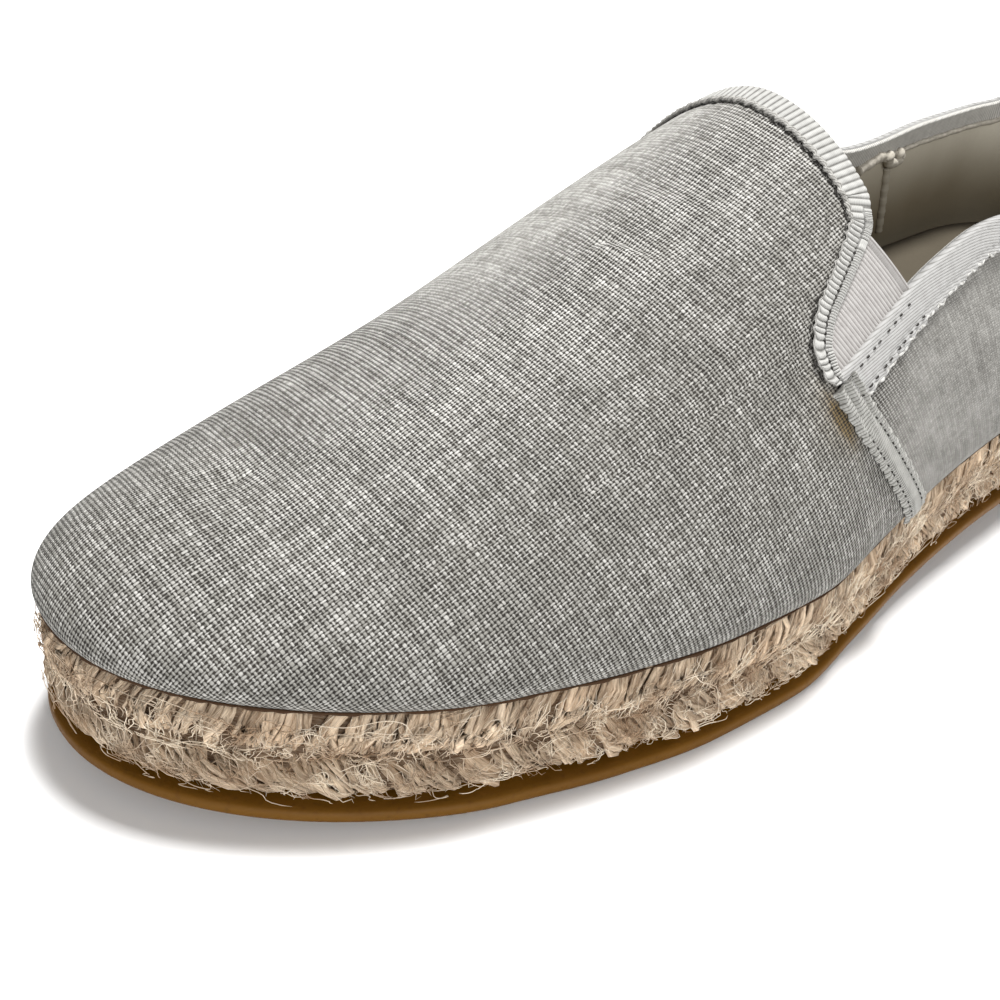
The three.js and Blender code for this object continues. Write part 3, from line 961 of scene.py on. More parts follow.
def respaced(surface, a, b, step):
    """The same path with points at equal distances, and those distances."""
    s = path_length(surface(a, b))
    even = np.linspace(0, s[-1], int(s[-1] / step) + 1)
    return np.interp(even, s, a), np.interp(even, s, b), even


def laid_on(surface, a, b, inward_sign, s, lift):
    """Points at s in from the path and lift off the surface; s and lift are (path, profile)."""
    edge = surface(a, b)
    run = unit(np.gradient(edge, axis=0))
    inward = unit(np.cross(normal(surface, a, b), run)) * inward_sign
    target = edge[:, None] + inward[:, None] * s[..., None]
    sa, sb = settle(surface, a[:, None] + 0 * s, b[:, None] + 0 * s, target)
    base = np.where((s < 0)[..., None], target, surface(sa, sb))
    return base + normal(surface, sa, sb) * lift[..., None]


def folded(width, proud=0.6, inside=2.1, face=12, nose=7, inner_share=0.8):
    """s and n round a tape folded over an edge, as shares of its width: up off the cloth, along the
    face to the edge, round the nose and back along the inside."""
    run, turn = np.linspace(1, 0.06, face), np.linspace(0.5, -0.5, nose) * np.pi
    mid, half = (proud - inside) / 2, (proud + inside) / 2
    back = run[::-1] * inner_share
    s = np.concatenate([[0.96], run, -0.07 * np.cos(turn), back, [0.96 * inner_share]])
    n = np.concatenate(
        [[0.0], proud + 0 * run, mid + half * np.sin(turn), -inside + 0 * run, [-WALL]]
    )
    return s[None, :] * width[:, None], np.broadcast_to(n, (len(width), len(n))).copy()


def loft(name, points, uv):
    """A closed profile carried along a path, with its two ends filled to their middles."""
    n, k = points.shape[:2]
    ends = np.stack([points[0].mean(0), points[-1].mean(0)])
    faces = grid_faces(n, k, close_cols=True)
    j = np.arange(k)
    j2 = (j + 1) % k
    lid0 = np.stack([np.full(k, n * k), j2, j, j], -1)
    far = (n - 1) * k
    lid1 = np.stack([np.full(k, n * k + 1), far + j, far + j2, far + j2], -1)
    flat_uv = np.concatenate([uv.reshape(-1, 2), uv[0, :1], uv[-1, :1]])
    return write_mesh(
        name, np.concatenate([points.reshape(-1, 3), ends]), np.concatenate([faces, lid0, lid1]),
        flat_uv, face_out=True,
    )


INNER_SIDE = 40.0


def tape_finish(name, pale, groove_shade, rib, slant=0.0, depth=0.00012, inner=None):
    """Woven tape: UV is the distance along it and across it, in millimetres; rib is the spacing. A
    rib is one hump of a sine, so the grooves between are narrow, and they take the darker colour as
    painted shade. inner adds the colours of the side within the shoe, whose across is moved on by
    INNER_SIDE."""
    f = Finish(name, Roughness=0.85, Specular_IOR_Level=0.25)
    uv = f.uv()
    along, across, _ = f.parts(uv)
    wave = ((along + across * slant) * (np.pi / rib)).sin().abs()
    thread = (across * (2 * np.pi / 0.32)).sin() * 0.5 + 0.5
    cloud = f.noise(uv, 0.6, 3)
    mixed = (wave.ease(0.05, 0.75) * 0.62 + thread * 0.16 + (cloud - 0.5) * 0.6 + 0.15).clamp()
    # Painted shade: the grooves between the ribs go to the darker colour.
    tone = f.mix(mixed, groove_shade, pale)
    if inner:
        fine = (along * (np.pi / 0.7)).sin().abs() * 0.6 + cloud * 0.5
        tone = f.mix(across.over(INNER_SIDE - 10), tone, f.mix(fine.clamp(), *inner))
    f.colour(tone)
    f.bump(wave * 0.8 + thread * 0.25, depth, 0.9)
    return f.material


grosgrain = tape_finish("grosgrain", linear(184, 183, 179), linear(78, 76, 72), 1.3)
twill = tape_finish(
    "twill_tape", linear(172, 171, 169), linear(116, 114, 110), 2.85, slant=-5.6, depth=0.00008,
    inner=(linear(108, 105, 99), linear(212, 210, 204)),
)


# %% [markdown]
# One tape binds the vamp's whole rear edge. Down the gores it lies flat. Over the instep it is
# gathered, so its ribs crowd and bow, and they run out past a pressed groove into a beaded edge. A
# texture alone would leave the edge smooth against the light, so the ribs lift the profile's points.

# %% The throat tape
THROAT_FOOT = (117.3, 54.2)  # d and z where the tape starts, at the foot of the gore


def throat_path(count=700):
    """(t, turn) along the vamp's rear edge, from the outer gore's foot over the instep."""
    low, high = (side_spot(side, *THROAT_FOOT)[1] for side, _ in SIDES)
    turn = np.linspace(low, np.pi - high, count)
    rows = np.linspace(0, SEARCH_ENDS, 900)
    q = over(rows[None, :], turn[:, None])
    z = q[..., 2] - TOPLINE_TILT * q[..., 0]
    return first_crossing(q[..., 1] - vamp_rear(z), rows), turn


def eased(values, reach):
    """A running mean, ends held."""
    padded = np.pad(values, reach, mode="edge")
    return np.convolve(padded, np.ones(2 * reach + 1) / (2 * reach + 1), "valid")


throat_t, throat_turn = throat_path()
throat_t = eased(throat_t, 5)
throat_t, throat_turn, throat_s = respaced(over, throat_t, throat_turn, 0.14)
throat_edge = over(throat_t, throat_turn)
side_z = throat_edge[:, 2] - TOPLINE_TILT * throat_edge[:, 0]
tape_width = np.interp(side_z, [56, 66, 72, 77], [3.3, 3.4, 3.9, 4.6])
gathered = 1 - smooth((side_z - 70) / 6)
THROAT_RIB, GROOVE_AT = 1.3, 0.36
from_end = np.minimum(throat_s, throat_s[-1] - throat_s)
tape_width = tape_width * (1 - 0.45 * np.exp(-((from_end / 1.4) ** 2)))
rib_s = np.cumsum(np.gradient(throat_s) * (1 + 0.32 * gathered))
phase = 2 * np.pi * rib_s / THROAT_RIB
s, n = folded(tape_width)
face_share = np.clip(s / tape_width[:, None], 0, 1)
past_groove = np.clip((face_share - GROOVE_AT) / (1 - GROOVE_AT), 0, 1)
bow = 1.5 * gathered[:, None] * np.sin(np.pi * past_groove)
bead = gathered[:, None] * (face_share < GROOVE_AT - 0.02)
ribs = np.abs(np.sin((phase[:, None] + bow) / 2 * (1 + bead))) ** 0.7
on_face = (n > -0.2) & (s < 0.95 * tape_width[:, None])
n = n + np.where(on_face, (0.26 + 0.2 * gathered[:, None]) * (ribs - 0.75), 0)
groove = np.exp(-(((face_share - GROOVE_AT) / 0.09) ** 2)) * gathered[:, None]
n = n - np.where(on_face, 0.45 * groove, 0)
selvedge_wave = 0.14 * np.sin(phase * 0.5 + 1) + 0.1 * np.sin(throat_s * 1.7)
s = s + np.where(s > 0.9 * tape_width[:, None], selvedge_wave[:, None], 0)
throat = laid_on(over, throat_t, throat_turn, 1, s, n)
rib_uv = (phase[:, None] + bow) / (2 * np.pi) * THROAT_RIB
throat_uv = np.stack([rib_uv * (1 + bead), s], -1)
place(loft("throat_tape", throat, throat_uv), [grosgrain], "ribbed_tape", "vamp_binding")


# %% [markdown]
# A two-ply cord edges the tape where it meets the canvas. Two crossing threads could be swept side
# by side, but one tube whose section turns and swells as it goes looks the same and stays closed.

# %% The throat tape's corded edge
def twisted_edge(name, surface, a, b, s_run, sign, s_in, lift, radius, pitch, ripple=1.0):
    """A tight two-ply cord along a tape's inner edge: its section turns and swells as it goes."""
    turn = 2 * np.pi * np.arange(10) / 10
    swell = 0.32 * np.sin(2 * np.pi * s_run[:, None] / pitch + turn[None, :])
    swell = 1 + ripple * (swell + 0.12 * np.sin(s_run[:, None] * 2.3 + 3 * turn[None, :]))
    size = np.reshape(radius, (-1, 1)) * swell
    s = s_in[:, None] + size * np.cos(turn)
    n = lift + size * np.sin(turn)
    points = laid_on(surface, a, b, sign, s, n)
    uv = np.stack(np.broadcast_arrays(s_run[:, None], turn[None, :] * 0.5), -1)
    return loft(name, points, uv)


cord_finish = tape_finish("cotton_cord", linear(182, 180, 175), linear(88, 85, 80), 0.75, 1.2)
edge_in = tape_width + selvedge_wave + 0.1
cord_size = 0.46 - 0.3 * gathered
throat_cord = twisted_edge(
    "throat_cord", over, throat_t, throat_turn, throat_s, 1, edge_in, 0.5, cord_size, 1.5
)
place(throat_cord, [cord_finish], "ribbed_tape")


# %% [markdown]
# A flat twill tape is folded over the quarters' topline. It is made as the throat's is, but smooth:
# its lower edge wanders a little, and a shallow trough runs along the row of stitches. A fold of it
# shows as a scalloped line on the canvas.

# %% The topline tape
PAST_SEAM = 0.0006  # in p: how far the tape's two ends reach under the strips
top_path_p = np.linspace(front_p - PAST_SEAM, back_p + PAST_SEAM, 900)
top_path_rise = eased(quarter_top(topline_z, top_path_p), 6)
top_a, top_b, top_s = respaced(last, top_path_p, top_path_rise, 0.4)
top_edge = last(top_a, top_b)
quarter_tape = column(QUARTER_EDGE, "tape")(top_edge[:, 1])
s, n = folded(quarter_tape)
wave = 0.12 * np.sin(top_s * 2 * np.pi / 2.3) + 0.14 * np.sin(top_s * 0.9)
wave = wave + 0.1 * np.sin(top_s * 1.7)
low_edge = s > 0.9 * quarter_tape[:, None]
s = s + np.where(low_edge & (n > 0), wave[:, None], 0)
share_in = s / quarter_tape[:, None]
trough = -0.28 * np.exp(-(((share_in - 0.78) / 0.06) ** 2))
hem = trough + 0.1 * np.sin(top_s * 3.0)[:, None] * (share_in > 0.7)
n = n + np.where((n > 0) & (s > 0), hem, 0)
topline = laid_on(last, top_a, top_b, -1, s, n)
across = s + np.where(n < -1.1, INNER_SIDE, 0)
topline_uv = np.stack(np.broadcast_arrays(top_s[:, None], across), -1)
place(loft("topline_tape", topline, topline_uv), [twill], "twill_tape", "quarter_binding")
scallop = tape_finish("tape_fold", linear(198, 197, 193), linear(136, 133, 127), 1.7)
fold_in = quarter_tape + wave - 0.2
topline_fold = twisted_edge(
    "topline_fold", last, top_a, top_b, top_s, -1, fold_in, 0.4, 0.27, 3.7
)
place(topline_fold, [scallop], "twill_tape")


# %% [markdown]
# Inside the collar a soft piping closes the tape's inner edge, and the tape's end is knotted over
# the seam of the lining. Soft cords that lie on a wall need no simulation: a tube through a few
# points of the inner face, with a few lumps, gives their look.

# %% Piping inside the collar
def inside_wall(side, d, z, lift=-2.3):
    """Points on the inner face of the wall, from side-view places."""
    p, rise = side_spot(side, np.asarray(d, float), np.asarray(z, float))
    return last(p, rise) + normal(last, p, rise) * lift


seam_cloth = lining_finish("seam_cloth", linear(150, 143, 129), linear(188, 182, 168))


def rope(name, knots, radius, finish, sides=14, n=50):
    """A soft tube through a few points, bulging and thinning a little as it goes."""
    knots = np.asarray(knots, float)
    s = path_length(knots)
    even = np.linspace(0, s[-1], n)
    path = np.stack([eased(np.interp(even, s, knots[:, k]), 3) for k in range(3)], -1)
    lump = radius * (1 + 0.1 * np.sin(even * 1.7 + 1) + 0.05 * np.sin(even * 4.3))
    points, faces = tubes(path[None], lump[None], sides)
    return place(write_mesh(name, points, faces, face_out=True), [finish], "twill_tape")


cream = Finish("cream_tape", Roughness=0.9, Specular_IOR_Level=0.2)
cream_cloud = cream.noise(cream.place(), 700, 3)
cream.colour(cream.mix(cream_cloud, linear(136, 129, 116), linear(200, 194, 182)))
cream.bump(cream_cloud, 0.0003, 0.6)
PIPED_OUTER, PIPED_INNER = 118, 214  # d from which the piping runs, on each side
piped = (top_edge[:, 1] > PIPED_OUTER) & (top_edge[:, 0] > 0) | (top_edge[:, 1] > PIPED_INNER)
piping_in = quarter_tape[piped] * 0.8 + 0.3
collar_piping = twisted_edge(
    "collar_piping", last, top_a[piped], top_b[piped], top_s[piped], -1, piping_in, -2.2, 0.68,
    7.0, 0.3,
)
place(collar_piping, [cream.material], "twill_tape")
for side, word in SIDES:
    tape_end = inside_wall(side, [205, 209, 213, 217], [57.2, 58.4, 59.6, 58.4])
    knot = inside_wall(side, [215, 217, 220, 222, 220], [60, 57.4, 56.8, 58.2, 59.6], -3.0)
    seam_run = inside_wall(side, [218.6, 220.7, 224.8, 228], [56, 51.7, 42.9, 36], -2.0)
    rope(f"tape_end_{word}", tape_end, 1.2, cream.material)
    rope(f"tape_knot_{word}", knot, 1.25, cream.material)
    rope(f"lining_seam_{word}", seam_run, 0.95, seam_cloth)

# %% [markdown]
# The elastic gores are ribbed knits that let the throat stretch. Their ribs run beside the free top
# edge, which is rolled into a thin hem.

# %% Gores
GORE_RIB = 0.78
HEM = 1.6  # height of the rolled hem under the free edge
elastic = tape_finish(
    "ribbed_elastic", linear(172, 169, 166), linear(118, 113, 110), GORE_RIB, depth=0.0001
)


def gore(side, name, node):
    """A three-cornered sheet between the two tapes: a goes from its foot to the free edge, b from
    the vamp's tape to the quarter's. Its two long edges reach a little under the tapes."""
    a = np.linspace(0, 1, 180)[:, None]
    b = np.linspace(0, 1, 18)[None, :]
    front = np.stack([VAMP_EDGE["d"][:1:-1] - 1.6, VAMP_EDGE["z"][:1:-1] + 1.0])
    rear = np.stack([QUARTER_EDGE["d"][:3] + 1.2, QUARTER_EDGE["z"][:3] - 1.8])

    def walked(edge):
        run = path_length(edge.T)
        return np.stack([np.interp(a * run[-1], run, measure) for measure in edge])

    d, z = walked(front) * (1 - b) + walked(rear) * b
    p, rise = side_spot(side, d, z)
    q, off = last(p, rise), normal(last, p, rise)
    hem = rear[:, -1] - front[:, -1]
    hem = hem / np.hypot(*hem)
    below = np.abs((d - front[0, -1]) * hem[1] - (z - front[1, -1]) * hem[0])
    rib = 0.14 * np.abs(np.sin(np.pi * below / GORE_RIB)) * (below > HEM)
    roll = 0.45 * np.exp(-(((below - 0.6) / 0.5) ** 2))
    roll = roll - 0.25 * np.exp(-(((below - HEM + 0.1) / 0.25) ** 2))
    outer = q + off * (-0.35 + rib + roll)[..., None]
    inner = q - off * 1.5
    uv = np.stack([below, 14 * b + 0 * a], -1)
    return doubled_shell(name, outer, inner, uv, [elastic], "elastic", node)


for side, word in SIDES:
    gore(side, f"gore_sheet_{word}", f"gore_{word}")


# %% [markdown]
# A strip of the ribbed tape covers each side seam, from the foot of the gore down to the jute. Its
# raw head is gathered into small folds, and two rows of stitches press it in.

# %% Strips over the side seams
STRIP_RIB = 0.62
strip_tape = tape_finish("strip_grosgrain", linear(168, 167, 162), linear(76, 74, 69), STRIP_RIB)


def strip_frame(side, count=230):
    """The strip's middle line on the wall, evenly spaced, with the width there."""
    s = path_length(np.stack([STRIP_LINE["d"], STRIP_LINE["z"]], -1))
    even = np.linspace(0, s[2] + 0.9, count)
    d, z = (eased(np.interp(even, s, STRIP_LINE[name]), 14) for name in "dz")
    p, rise = side_spot(side, d, z)
    return p, rise, even, np.interp(even, s, STRIP_LINE["width"])


def strip(side, name, node):
    """A grosgrain strip: a flat rounded section carried down the seam; its head is gathered."""
    p, rise, s_run, width = strip_frame(side)
    across = np.sin(np.linspace(-0.5, 0.5, 31) * np.pi)
    edge = 1 - np.abs(across) ** 6
    head = np.exp(-((s_run / 8.5) ** 2))[:, None]
    bowed = s_run[:, None] + 0.5 * np.cos(across * 3)
    rib = 0.16 * (np.abs(np.sin(np.pi * bowed / STRIP_RIB)) - 0.6) * (1 - 0.7 * head)
    small_folds = 0.25 * np.sin(across * 15 + s_run[:, None] * 0.7)
    folds = head * (0.5 * np.sin(across * 8 + 0.8) + small_folds)
    rows = -0.42 * sum(np.exp(-(((across - at) / 0.1) ** 2)) for at in (0.5, -0.6))
    lumps = 0.16 * np.sin(s_run * 4.3)[:, None] * (np.abs(across) > 0.68)
    top = 0.3 + 0.75 * edge + rib + folds + (rows + lumps) * (1 - 0.7 * head)
    corner = smooth((s_run - (s_run[-1] - 2.2)) / 2.2) ** 2
    half = width / 2 - 0.9 * corner
    wob = 0.22 * np.sin(s_run * 2.6) + 0.12 * np.sin(s_run * 5.3)
    s_top = half[:, None] * across + wob[:, None] * across * np.abs(across) ** 3
    s = np.concatenate([s_top, s_top[:, ::-1]], 1)
    n = np.concatenate([top, np.full_like(top, 0.2)], 1)
    points = laid_on(last, p, rise, 1, s, n)
    uv = np.stack(np.broadcast_arrays(s_run[:, None], s), -1)
    place(loft(name, points, uv), [strip_tape], "ribbed_tape", node)


for side, word in SIDES:
    strip(side, f"seam_strip_{word}", f"strip_{word}")

# %% [markdown]
# Stitches are hundreds of short threads, joined in one mesh. Each dips at both ends into a dark
# needle hole.


# %% Stitches
def stitched(name, surface, a, b, sign, s_in, lift, pitch, length, radius, finish, slot):
    """Short threads every pitch along a path, s_in from it: each is an arc of five points."""
    s = path_length(surface(a, b))
    starts = np.arange(pitch, s[-1] - pitch, pitch)
    starts = starts + RNG.normal(0, 0.1, starts.shape) * pitch
    length = length * RNG.uniform(0.7, 1.2, (len(starts), 1))
    reach = np.linspace(-1, 1, 5)
    along = starts[:, None] + reach / 2 * length
    arc = lift - 0.22 * reach**2
    fine = np.linspace(0, s[-1], len(s) * 2)
    row_s = np.interp(fine, s, np.broadcast_to(s_in, s.shape))[:, None]
    fine_a, fine_b = np.interp(fine, s, a), np.interp(fine, s, b)
    low, high = (
        laid_on(surface, fine_a, fine_b, sign, row_s, np.full_like(row_s, off))[:, 0]
        for off in (0.0, 1.0)
    )
    foot, top = (
        np.stack([np.interp(along, fine, line[:, k]) for k in range(3)], -1)
        for line in (low, high)
    )
    paths = foot + (top - foot) * arc[None, :, None]
    points, faces = tubes(paths, radius, 4)
    return place(write_mesh(name, points, faces), [finish], slot)


# Dark for the stitches, and for a painted shadow line.
stitch_and_shadow_dark = Finish("needle_holes_and_shadow", Base_Color=(*linear(44, 41, 38), 1), Roughness=0.95).material
# Painted shadow: a dashed dark line in the gap between the throat cord and the canvas.
stitched(
    "throat_shadow_line", over, throat_t, throat_turn, 1, edge_in + cord_size + 0.22, 0.1, 2.1, 1.7,
    0.17, stitch_and_shadow_dark, "ribbed_tape",
)
for side, word in SIDES:
    for row, share_at, reach in (("upper", 0.2, 140.5), ("lower", 0.8, 143)):
        on_side = (top_edge[:, 1] < reach) & ((top_edge[:, 0] > 0) == (side > 0))
        stitched(
            f"tape_holes_{row}_{word}", last, top_a[on_side], top_b[on_side], -1,
            quarter_tape[on_side] * share_at, 0.78, 2.35, 1.15, 0.17, stitch_and_shadow_dark, "twill_tape",
        )
    on_gore = (side_z < 71) & ((throat_edge[:, 0] > 0) == (side > 0))
    stitched(
        f"gore_holes_{word}", over, throat_t[on_gore], throat_turn[on_gore], 1,
        tape_width[on_gore] * 0.36, 0.36, 1.3, 0.7, 0.18, stitch_and_shadow_dark, "ribbed_tape",
    )
    p, rise, s_run, width = strip_frame(side)
    low = s_run > 8
    for row, share_at in (("front", -0.3), ("rear", 0.25)):
        stitched(
            f"strip_holes_{row}_{word}", last, p[low], rise[low], 1, width[low] * share_at, 0.78,
            1.75, 0.7, 0.2, stitch_and_shadow_dark, "ribbed_tape",
        )

# %% [markdown]
# The sole. The rubber, the core of the platform and the sock are slabs: rings of the outline at
# several insets, closed below and above by rings drawn in to the middle line.


# %% Slabs
def slab(name, rows, foot, count=720, spine_rows=3):
    """A closed slab from (inset, height above foot) rows; above and below, each ring's points slide
    to the middle line, where the two sides meet."""
    p = np.linspace(0, 1, count, endpoint=False)
    rings = []
    for inset, height in rows:
        x, d = outline(p, inset)
        rings.append(np.stack([x, d, foot(d) + height], -1))
    across = -np.arange(count) % count

    def middle(ring):
        return np.stack([(ring[:, 0] + ring[across, 0]) / 2, ring[:, 1], ring[:, 2]], -1)

    first, final = rings[0], rings[-1]
    shares = np.linspace(1, 0, spine_rows + 1)[1:]
    below = [middle(first) + (first - middle(first)) * k for k in shares[::-1]]
    above = [middle(final) + (final - middle(final)) * k for k in shares]
    q = np.stack(below + rings + above)
    widest = rings[len(rings) // 2]
    ring_s = path_length(np.concatenate([widest, widest[:1]]))[:-1]
    up = path_length(q[:, 0])
    uv = np.stack(np.broadcast_arrays(ring_s[None, :], up[:, None]), -1)
    return write_mesh(
        name, q, grid_faces(len(q), count, close_cols=True), uv, weld=0.01, face_out=True
    )


rubber = Finish("gum_rubber", Roughness=0.5, Specular_IOR_Level=0.16)
where = rubber.place()
_, _, rubber_z = rubber.parts(where)
cloud = rubber.noise(where, 60, 3)
grime = rubber.noise(where, 900, 3)
tan = rubber.mix(cloud, linear(90, 57, 8), linear(112, 76, 17))
tan = rubber.mix(grime.ease(0.55, 0.8) * 0.35, tan, linear(66, 44, 20))
rubber.colour(tan)
rubber.roughness(0.42 + grime * 0.25)
rubber.bump(rubber.noise(where, 2500, 2), 0.0002, 0.25)
OUTSOLE_ROWS = [
    (1.2, 0), (0.5, 0.12), (0.12, 0.45), (0, 1.0), (0, 1.7), (0.15, 2.2), (0.5, 2.5), (1.2, RUBBER),
]
outsole = slab("gum_outsole", OUTSOLE_ROWS, underside)
place(outsole, [rubber.material], "gum_rubber", "outsole")
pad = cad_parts["heel_pad"]
pad.data.materials.clear()
pad.data.materials.append(rubber.material)

# Painted shade: the sock is coloured a dark brown-grey, as the shade deep in the shoe.
sock_cloth = lining_finish("sock_cloth", linear(74, 68, 57), linear(90, 83, 71))
SOCK_ROWS = [(3.4, 0.1), (3.3, 1.0), (3.3, 2.6), (3.6, 3.5), (4.6, 3.95), (7, INSOLE)]
insole = slab("insole_sock", SOCK_ROWS, feather)
place(insole, [sock_cloth], "sock_cloth", "insole")

# %% [markdown]
# The platform is a thick plait of jute laid on edge, so its side shows two rows of slanting strands
# that meet in a groove. Each strand is a small swollen tube; a core closes the gaps between, painted
# dark as the shade in them.

# %% Jute
PITCH = 2.75
UPPER_LEAN, LOWER_LEAN = 5.2, 6.4  # how far a strand runs on round the shoe, in each row
UPPER_FROM, LOWER_FROM = 0.38, 0.46  # where it starts, beside the groove, as a share of the height
JUTE_TONES = linear(112, 86, 62), linear(240, 218, 190), linear(200, 158, 118)


def jute_finish(name, dark=0.0):
    """Bast fibre: thin streaks run along each strand; every strand has its own tone. dark draws the
    colour towards a deep brown: painted shade.
    """
    f = Finish(name, Roughness=0.95, Specular_IOR_Level=0.15)
    uv = f.uv()
    streak = f.noise(f.scaled(uv, (0.4, 3.2, 1)), 1.0, 4, 0.75)
    blotch = f.noise(f.place(), 90, 3)
    tone = (streak - 0.5) * 2.6 + (blotch - 0.5) * 0.8 + (f.attribute("tone") - 0.5) * 0.75 + 0.6
    mixed = f.mix(tone.clamp(), JUTE_TONES[0], JUTE_TONES[1])
    warm = f.mix((blotch - 0.45).clamp() * 1.2, mixed, JUTE_TONES[2])
    f.colour(f.mix(dark, warm, linear(46, 28, 16)))
    f.bump(streak, 0.0004, 0.9)
    return f.material


jute = jute_finish("jute_strands")
# Painted shade: the core is drawn most of the way to a deep brown, for the shade in the gaps between
# strands.
shaded_jute_core = jute_finish("shaded_jute_core", 0.6)
core_rows = [
    (inset + 1.3, np.clip(height * JUTE, 0.25, JUTE - 0.2))
    for height, inset in zip(PLAIT["height"], PLAIT["inset"])
]
core = slab("shaded_jute_core", core_rows, jute_foot)
place(core, [shaded_jute_core], "plaited_jute", "jute_midsole")

fine_p = np.linspace(0, 1, 4001)
fine_x, fine_d = outline(fine_p, 1.0)
perimeter_s = path_length(np.stack([fine_x, fine_d, 0 * fine_x], -1))
PERIMETER = perimeter_s[-1]
plait_inset = column(PLAIT, "inset", "height")


def on_platform(s, height, depth):
    """A point of the platform's side: s along it, height as a share, depth in from the plait."""
    p = np.interp(np.mod(s, PERIMETER), perimeter_s, fine_p)
    x, d = outline(p, plait_inset(np.clip(height, 0, 1)) + depth)
    return np.stack([x, d, jute_foot(d) + height * JUTE], -1)


def out_of_platform(s):
    """The platform's outward direction at s."""
    p = np.interp(np.mod(s, PERIMETER), perimeter_s, fine_p)
    x, d = outward(p, 1.0)
    return np.stack([x, d, 0 * x], -1)


def smooth_noise(count, n, waves, rng):
    """Random smooth curves from -1 to 1: a few sines with random sizes and phases."""
    x = np.linspace(0, 1, n)[None, :, None]
    k = np.arange(1, waves + 1)[None, None, :]
    size = rng.normal(0, 1, (count, 1, waves)) / k
    return (size * np.sin(2 * np.pi * k * x * 0.8 + rng.random((count, 1, waves)) * 7)).sum(-1)


def strands(start, low, high, shift):
    """(strand, point) arrays of s, height share and depth down each strand's middle."""
    a = np.linspace(0, 1, 9)[None, :]
    jitter = RNG.normal(0, 1, (5, len(start), 1))
    curl = 0.3 * smooth_noise(len(start), 9, 3, RNG)
    s = start[:, None] + jitter[0] * 0.32 + shift * (a**0.9) * (1 + 0.13 * jitter[1]) + curl
    height = low + (high - low) * a + 0.02 * jitter[2] * (1 - 0.4 * a)
    dive = 2.2 * (1 - a) ** 3 + 0.7 * a**8
    depth = 1.35 + dive + 0.2 * jitter[3]
    return s, height, depth, jitter[4]


YARNS, YARN_SIDES = 5, 5


def yarn_mesh(name, start, low, high, shift):
    """A strand is a bundle of thin yarns laid round the outer half of a flattened oval section,
    thick in its middle and finer at both ends. Each yarn wavers, and has its own tone."""
    s, height, depth, own = strands(start, low, high, shift)
    count, n = s.shape
    middle = on_platform(s, height, depth)
    out = out_of_platform(s)
    run = unit(np.gradient(middle, axis=1))
    side = unit(np.cross(run, out))
    face = np.cross(side, run)
    face = face * np.sign((face * out).sum(-1, keepdims=True))
    a = np.linspace(0, 1, n)
    swell = np.sin(np.pi * (0.10 + 0.68 * a)) ** 0.5 * (1 + 0.16 * np.clip(own, -2, 2))
    paths = []
    for k in range(YARNS):
        waver = RNG.normal(0, 0.12, (count, 1)) + 0.3 * smooth_noise(count, n, 2, RNG)
        angle = np.pi * (k + 0.5) / YARNS + waver + 1.5 * (a - 0.5)
        reach = swell * (1 + 0.24 * smooth_noise(count, n, 3, RNG))
        paths.append(
            middle
            + side * (np.cos(angle) * 1.22 * reach)[..., None]
            + face * (np.sin(angle) * 0.95 * reach)[..., None]
        )
    paths = np.stack(paths, 1).reshape(-1, n, 3)
    fat = np.repeat(swell, YARNS, axis=0) * RNG.uniform(0.31, 0.64, (count * YARNS, 1))
    fat = fat * np.maximum(0.5, 1 + 0.2 * smooth_noise(count * YARNS, n, 3, RNG))
    points, faces = tubes(paths, fat, YARN_SIDES)
    turn = np.arange(YARN_SIDES)[None, None, :] * 0.5
    along = a[None, :, None] * 12 + np.arange(count * YARNS)[:, None, None] * 7.7
    uv = np.stack(np.broadcast_arrays(along, turn), -1)
    own_tone = 0.5 * RNG.random((count, 1)) + 0.5 * RNG.random((count, YARNS))
    tone = np.broadcast_to(own_tone.reshape(-1, 1, 1), (count * YARNS, n, YARN_SIDES))
    piece = write_mesh(name, points, faces, uv, {"tone": tone})
    return place(piece, [jute], "plaited_jute")


row_start = np.arange(0, PERIMETER - PITCH / 2, PITCH)
yarn_mesh("jute_upper_row", row_start, UPPER_FROM, 0.985, UPPER_LEAN)
yarn_mesh("jute_lower_row", row_start + 0.4, LOWER_FROM, 0.03, LOWER_LEAN)


# %% [markdown]
# Jute sheds. Short fibres lie along the strands and longer, curly ones stand off them. A particle
# system would make them hair, which has no solid mesh, so each one is a tube of three sides.

# %% Loose jute fibres
def lying_fibres(count, n=5):
    """Short fibres that follow the strands, lifting a little off them."""
    start = RNG.random(count) * PERIMETER
    upper = RNG.random(count) < 0.58
    a = RNG.uniform(0.0, 0.65, (count, 1))
    a = a + np.linspace(0, 1, n)[None, :] * RNG.uniform(0.2, 0.5, (count, 1))
    slope = np.where(upper, UPPER_LEAN, LOWER_LEAN)[:, None] * RNG.normal(1, 0.35, (count, 1))
    low = np.where(upper, UPPER_FROM, LOWER_FROM)[:, None]
    high = np.where(upper, 0.96, 0.04)[:, None]
    s = start[:, None] + slope * a + 0.6 * smooth_noise(count, n, 3, RNG)
    height = np.clip(low + (high - low) * a + 0.04 * smooth_noise(count, n, 3, RNG), 0.03, 0.99)
    lift = 0.1 + 0.4 * np.abs(smooth_noise(count, n, 2, RNG))
    return on_platform(s, height, 0.3) + out_of_platform(s) * lift[..., None]


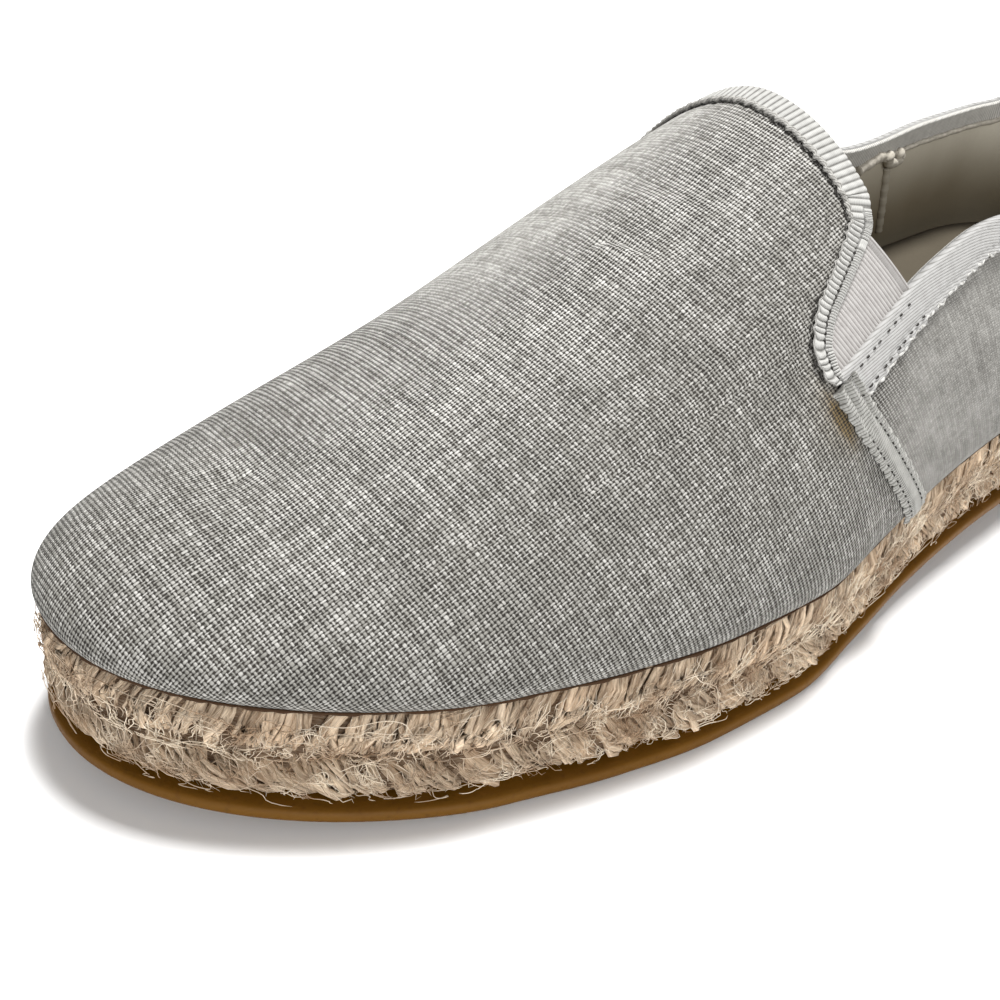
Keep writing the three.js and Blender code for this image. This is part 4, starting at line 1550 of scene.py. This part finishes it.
def stray_fibres(count, n=15):
    """Long curly fibres that wander over the plait and stand off it a little."""
    s0, h0 = RNG.random(count) * PERIMETER, RNG.uniform(0.1, 0.9, count)
    length = RNG.uniform(6, 20, (count, 1)) * np.where(RNG.random((count, 1)) < 0.2, 1.6, 0.8)
    heading = RNG.uniform(0, 2 * np.pi, (count, 1)) + 2.1 * smooth_noise(count, n, 2, RNG)
    step = length / n
    s = s0[:, None] + np.cumsum(np.cos(heading) * step, 1)
    height = h0[:, None] + np.cumsum(np.sin(heading) * step, 1) / JUTE
    height = 0.5 + 0.49 * np.tanh((height - 0.5) / 0.49)
    free = np.linspace(0, 1, n)[None, :] * RNG.random((count, 1)) ** 3
    lift = 0.25 + 1.0 * free + 0.35 * np.abs(smooth_noise(count, n, 2, RNG))
    return on_platform(s, height, 0.0) + out_of_platform(s) * lift[..., None]


fibre = Finish("loose_fibre", Roughness=0.8, Specular_IOR_Level=0.3)
fibre_tone = fibre.noise(fibre.place(), 160, 2).ease(0.3, 0.7)
fibre.colour(fibre.mix(fibre_tone, linear(168, 140, 112), linear(244, 230, 208)))
FIBRE_RADIUS = 0.075
for name, paths in (
    ("jute_fibres_lying", lying_fibres(4800)), ("jute_fibres_stray", stray_fibres(950)),
):
    points, faces = tubes(paths, FIBRE_RADIUS, 3)
    place(write_mesh(name, points, faces), [fibre.material], "plaited_jute")

# %% [markdown]
# A ragged dark brown line shows between the cloth's lower edge and the plait: painted shadow in the
# gap there. A thin closed ring under the edge gives that line, and its size wavers as it goes.

# %% The painted shadow line under the cloth's edge
EDGE_INSET, EDGE_SIDES, EDGE_STEPS = 1.35, 6, 900
ring_p = np.linspace(0, 1, EDGE_STEPS, endpoint=False)
seam_x, seam_d = outline(ring_p, EDGE_INSET)
seam = np.stack([seam_x, seam_d, feather(seam_d) - 0.22], -1)
seam_out = np.stack([*outward(ring_p, EDGE_INSET), 0 * seam_x], -1)
turn = 2 * np.pi * np.arange(EDGE_SIDES) / EDGE_SIDES
ragged = 1 + 0.3 * np.sin(ring_p * 330) + 0.25 * np.sin(ring_p * 811 + 1)
ragged = ragged + 0.2 * np.sin(ring_p * 1490)
ring_size = (0.1 + 0.2 * (1 - smooth((seam_d - 90) / 50))) * ragged
tube = seam[:, None] + ring_size[:, None, None] * (
    seam_out[:, None] * np.cos(turn)[:, None] + np.array([0, 0, 1.0]) * np.sin(turn)[:, None]
)
ring_faces = grid_faces(EDGE_STEPS, EDGE_SIDES, close_rows=True, close_cols=True)
shadow_line = write_mesh("shadow_line", tube, ring_faces, face_out=True)
# Painted shadow: the ring is a dark brown.
shade = Finish(
    "shadow_line", Base_Color=(*linear(66, 48, 34), 1), Roughness=0.95, Specular_IOR_Level=0.1
)
place(shadow_line, [shade.material], "canvas")

# %% [markdown]
# The shoe stands on a plain pale floor. One high panel of light gives soft, short shadows, and a
# weak one at the outer side lifts the wall that it leaves in shade.

# %% Floor, light and finish
floor_mesh = bpy.data.meshes.new("floor")
FLOOR = 4.0
floor_corners = [(-FLOOR, -FLOOR, 0), (FLOOR, -FLOOR, 0), (FLOOR, FLOOR, 0), (-FLOOR, FLOOR, 0)]
floor_mesh.from_pydata(floor_corners, [], [(0, 1, 2, 3)])
floor = bpy.data.objects.new("floor", floor_mesh)
pale_floor = Finish("pale_floor", Base_Color=(0.92, 0.92, 0.92, 1), Roughness=0.9)
floor.data.materials.append(pale_floor.material)
bpy.context.scene.collection.objects.link(floor)

world = bpy.data.worlds.new("studio")
bpy.context.scene.world = world
world.use_nodes = True
world.node_tree.nodes["Background"].inputs[0].default_value = (1, 1, 1, 1)
world.node_tree.nodes["Background"].inputs[1].default_value = 0.25
bpy.context.scene.view_settings.view_transform = "Standard"


def soft_light(name, place, aim, size, power):
    """A square panel of light at a place, in metres, facing an aim."""
    lamp = bpy.data.objects.new(name, bpy.data.lights.new(name, "AREA"))
    lamp.data.size, lamp.data.energy = size, power
    lamp.location = place
    lamp.rotation_euler = (Vector(aim) - Vector(place)).to_track_quat("-Z", "Y").to_euler()
    bpy.context.scene.collection.objects.link(lamp)


soft_light("key", (-0.18, 0.32, 1.94), (0, 0, 0), 0.4, 68)
soft_light("fill", (1.35, -0.7, 0.6), (0, 0, 0.02), 1.0, 16)
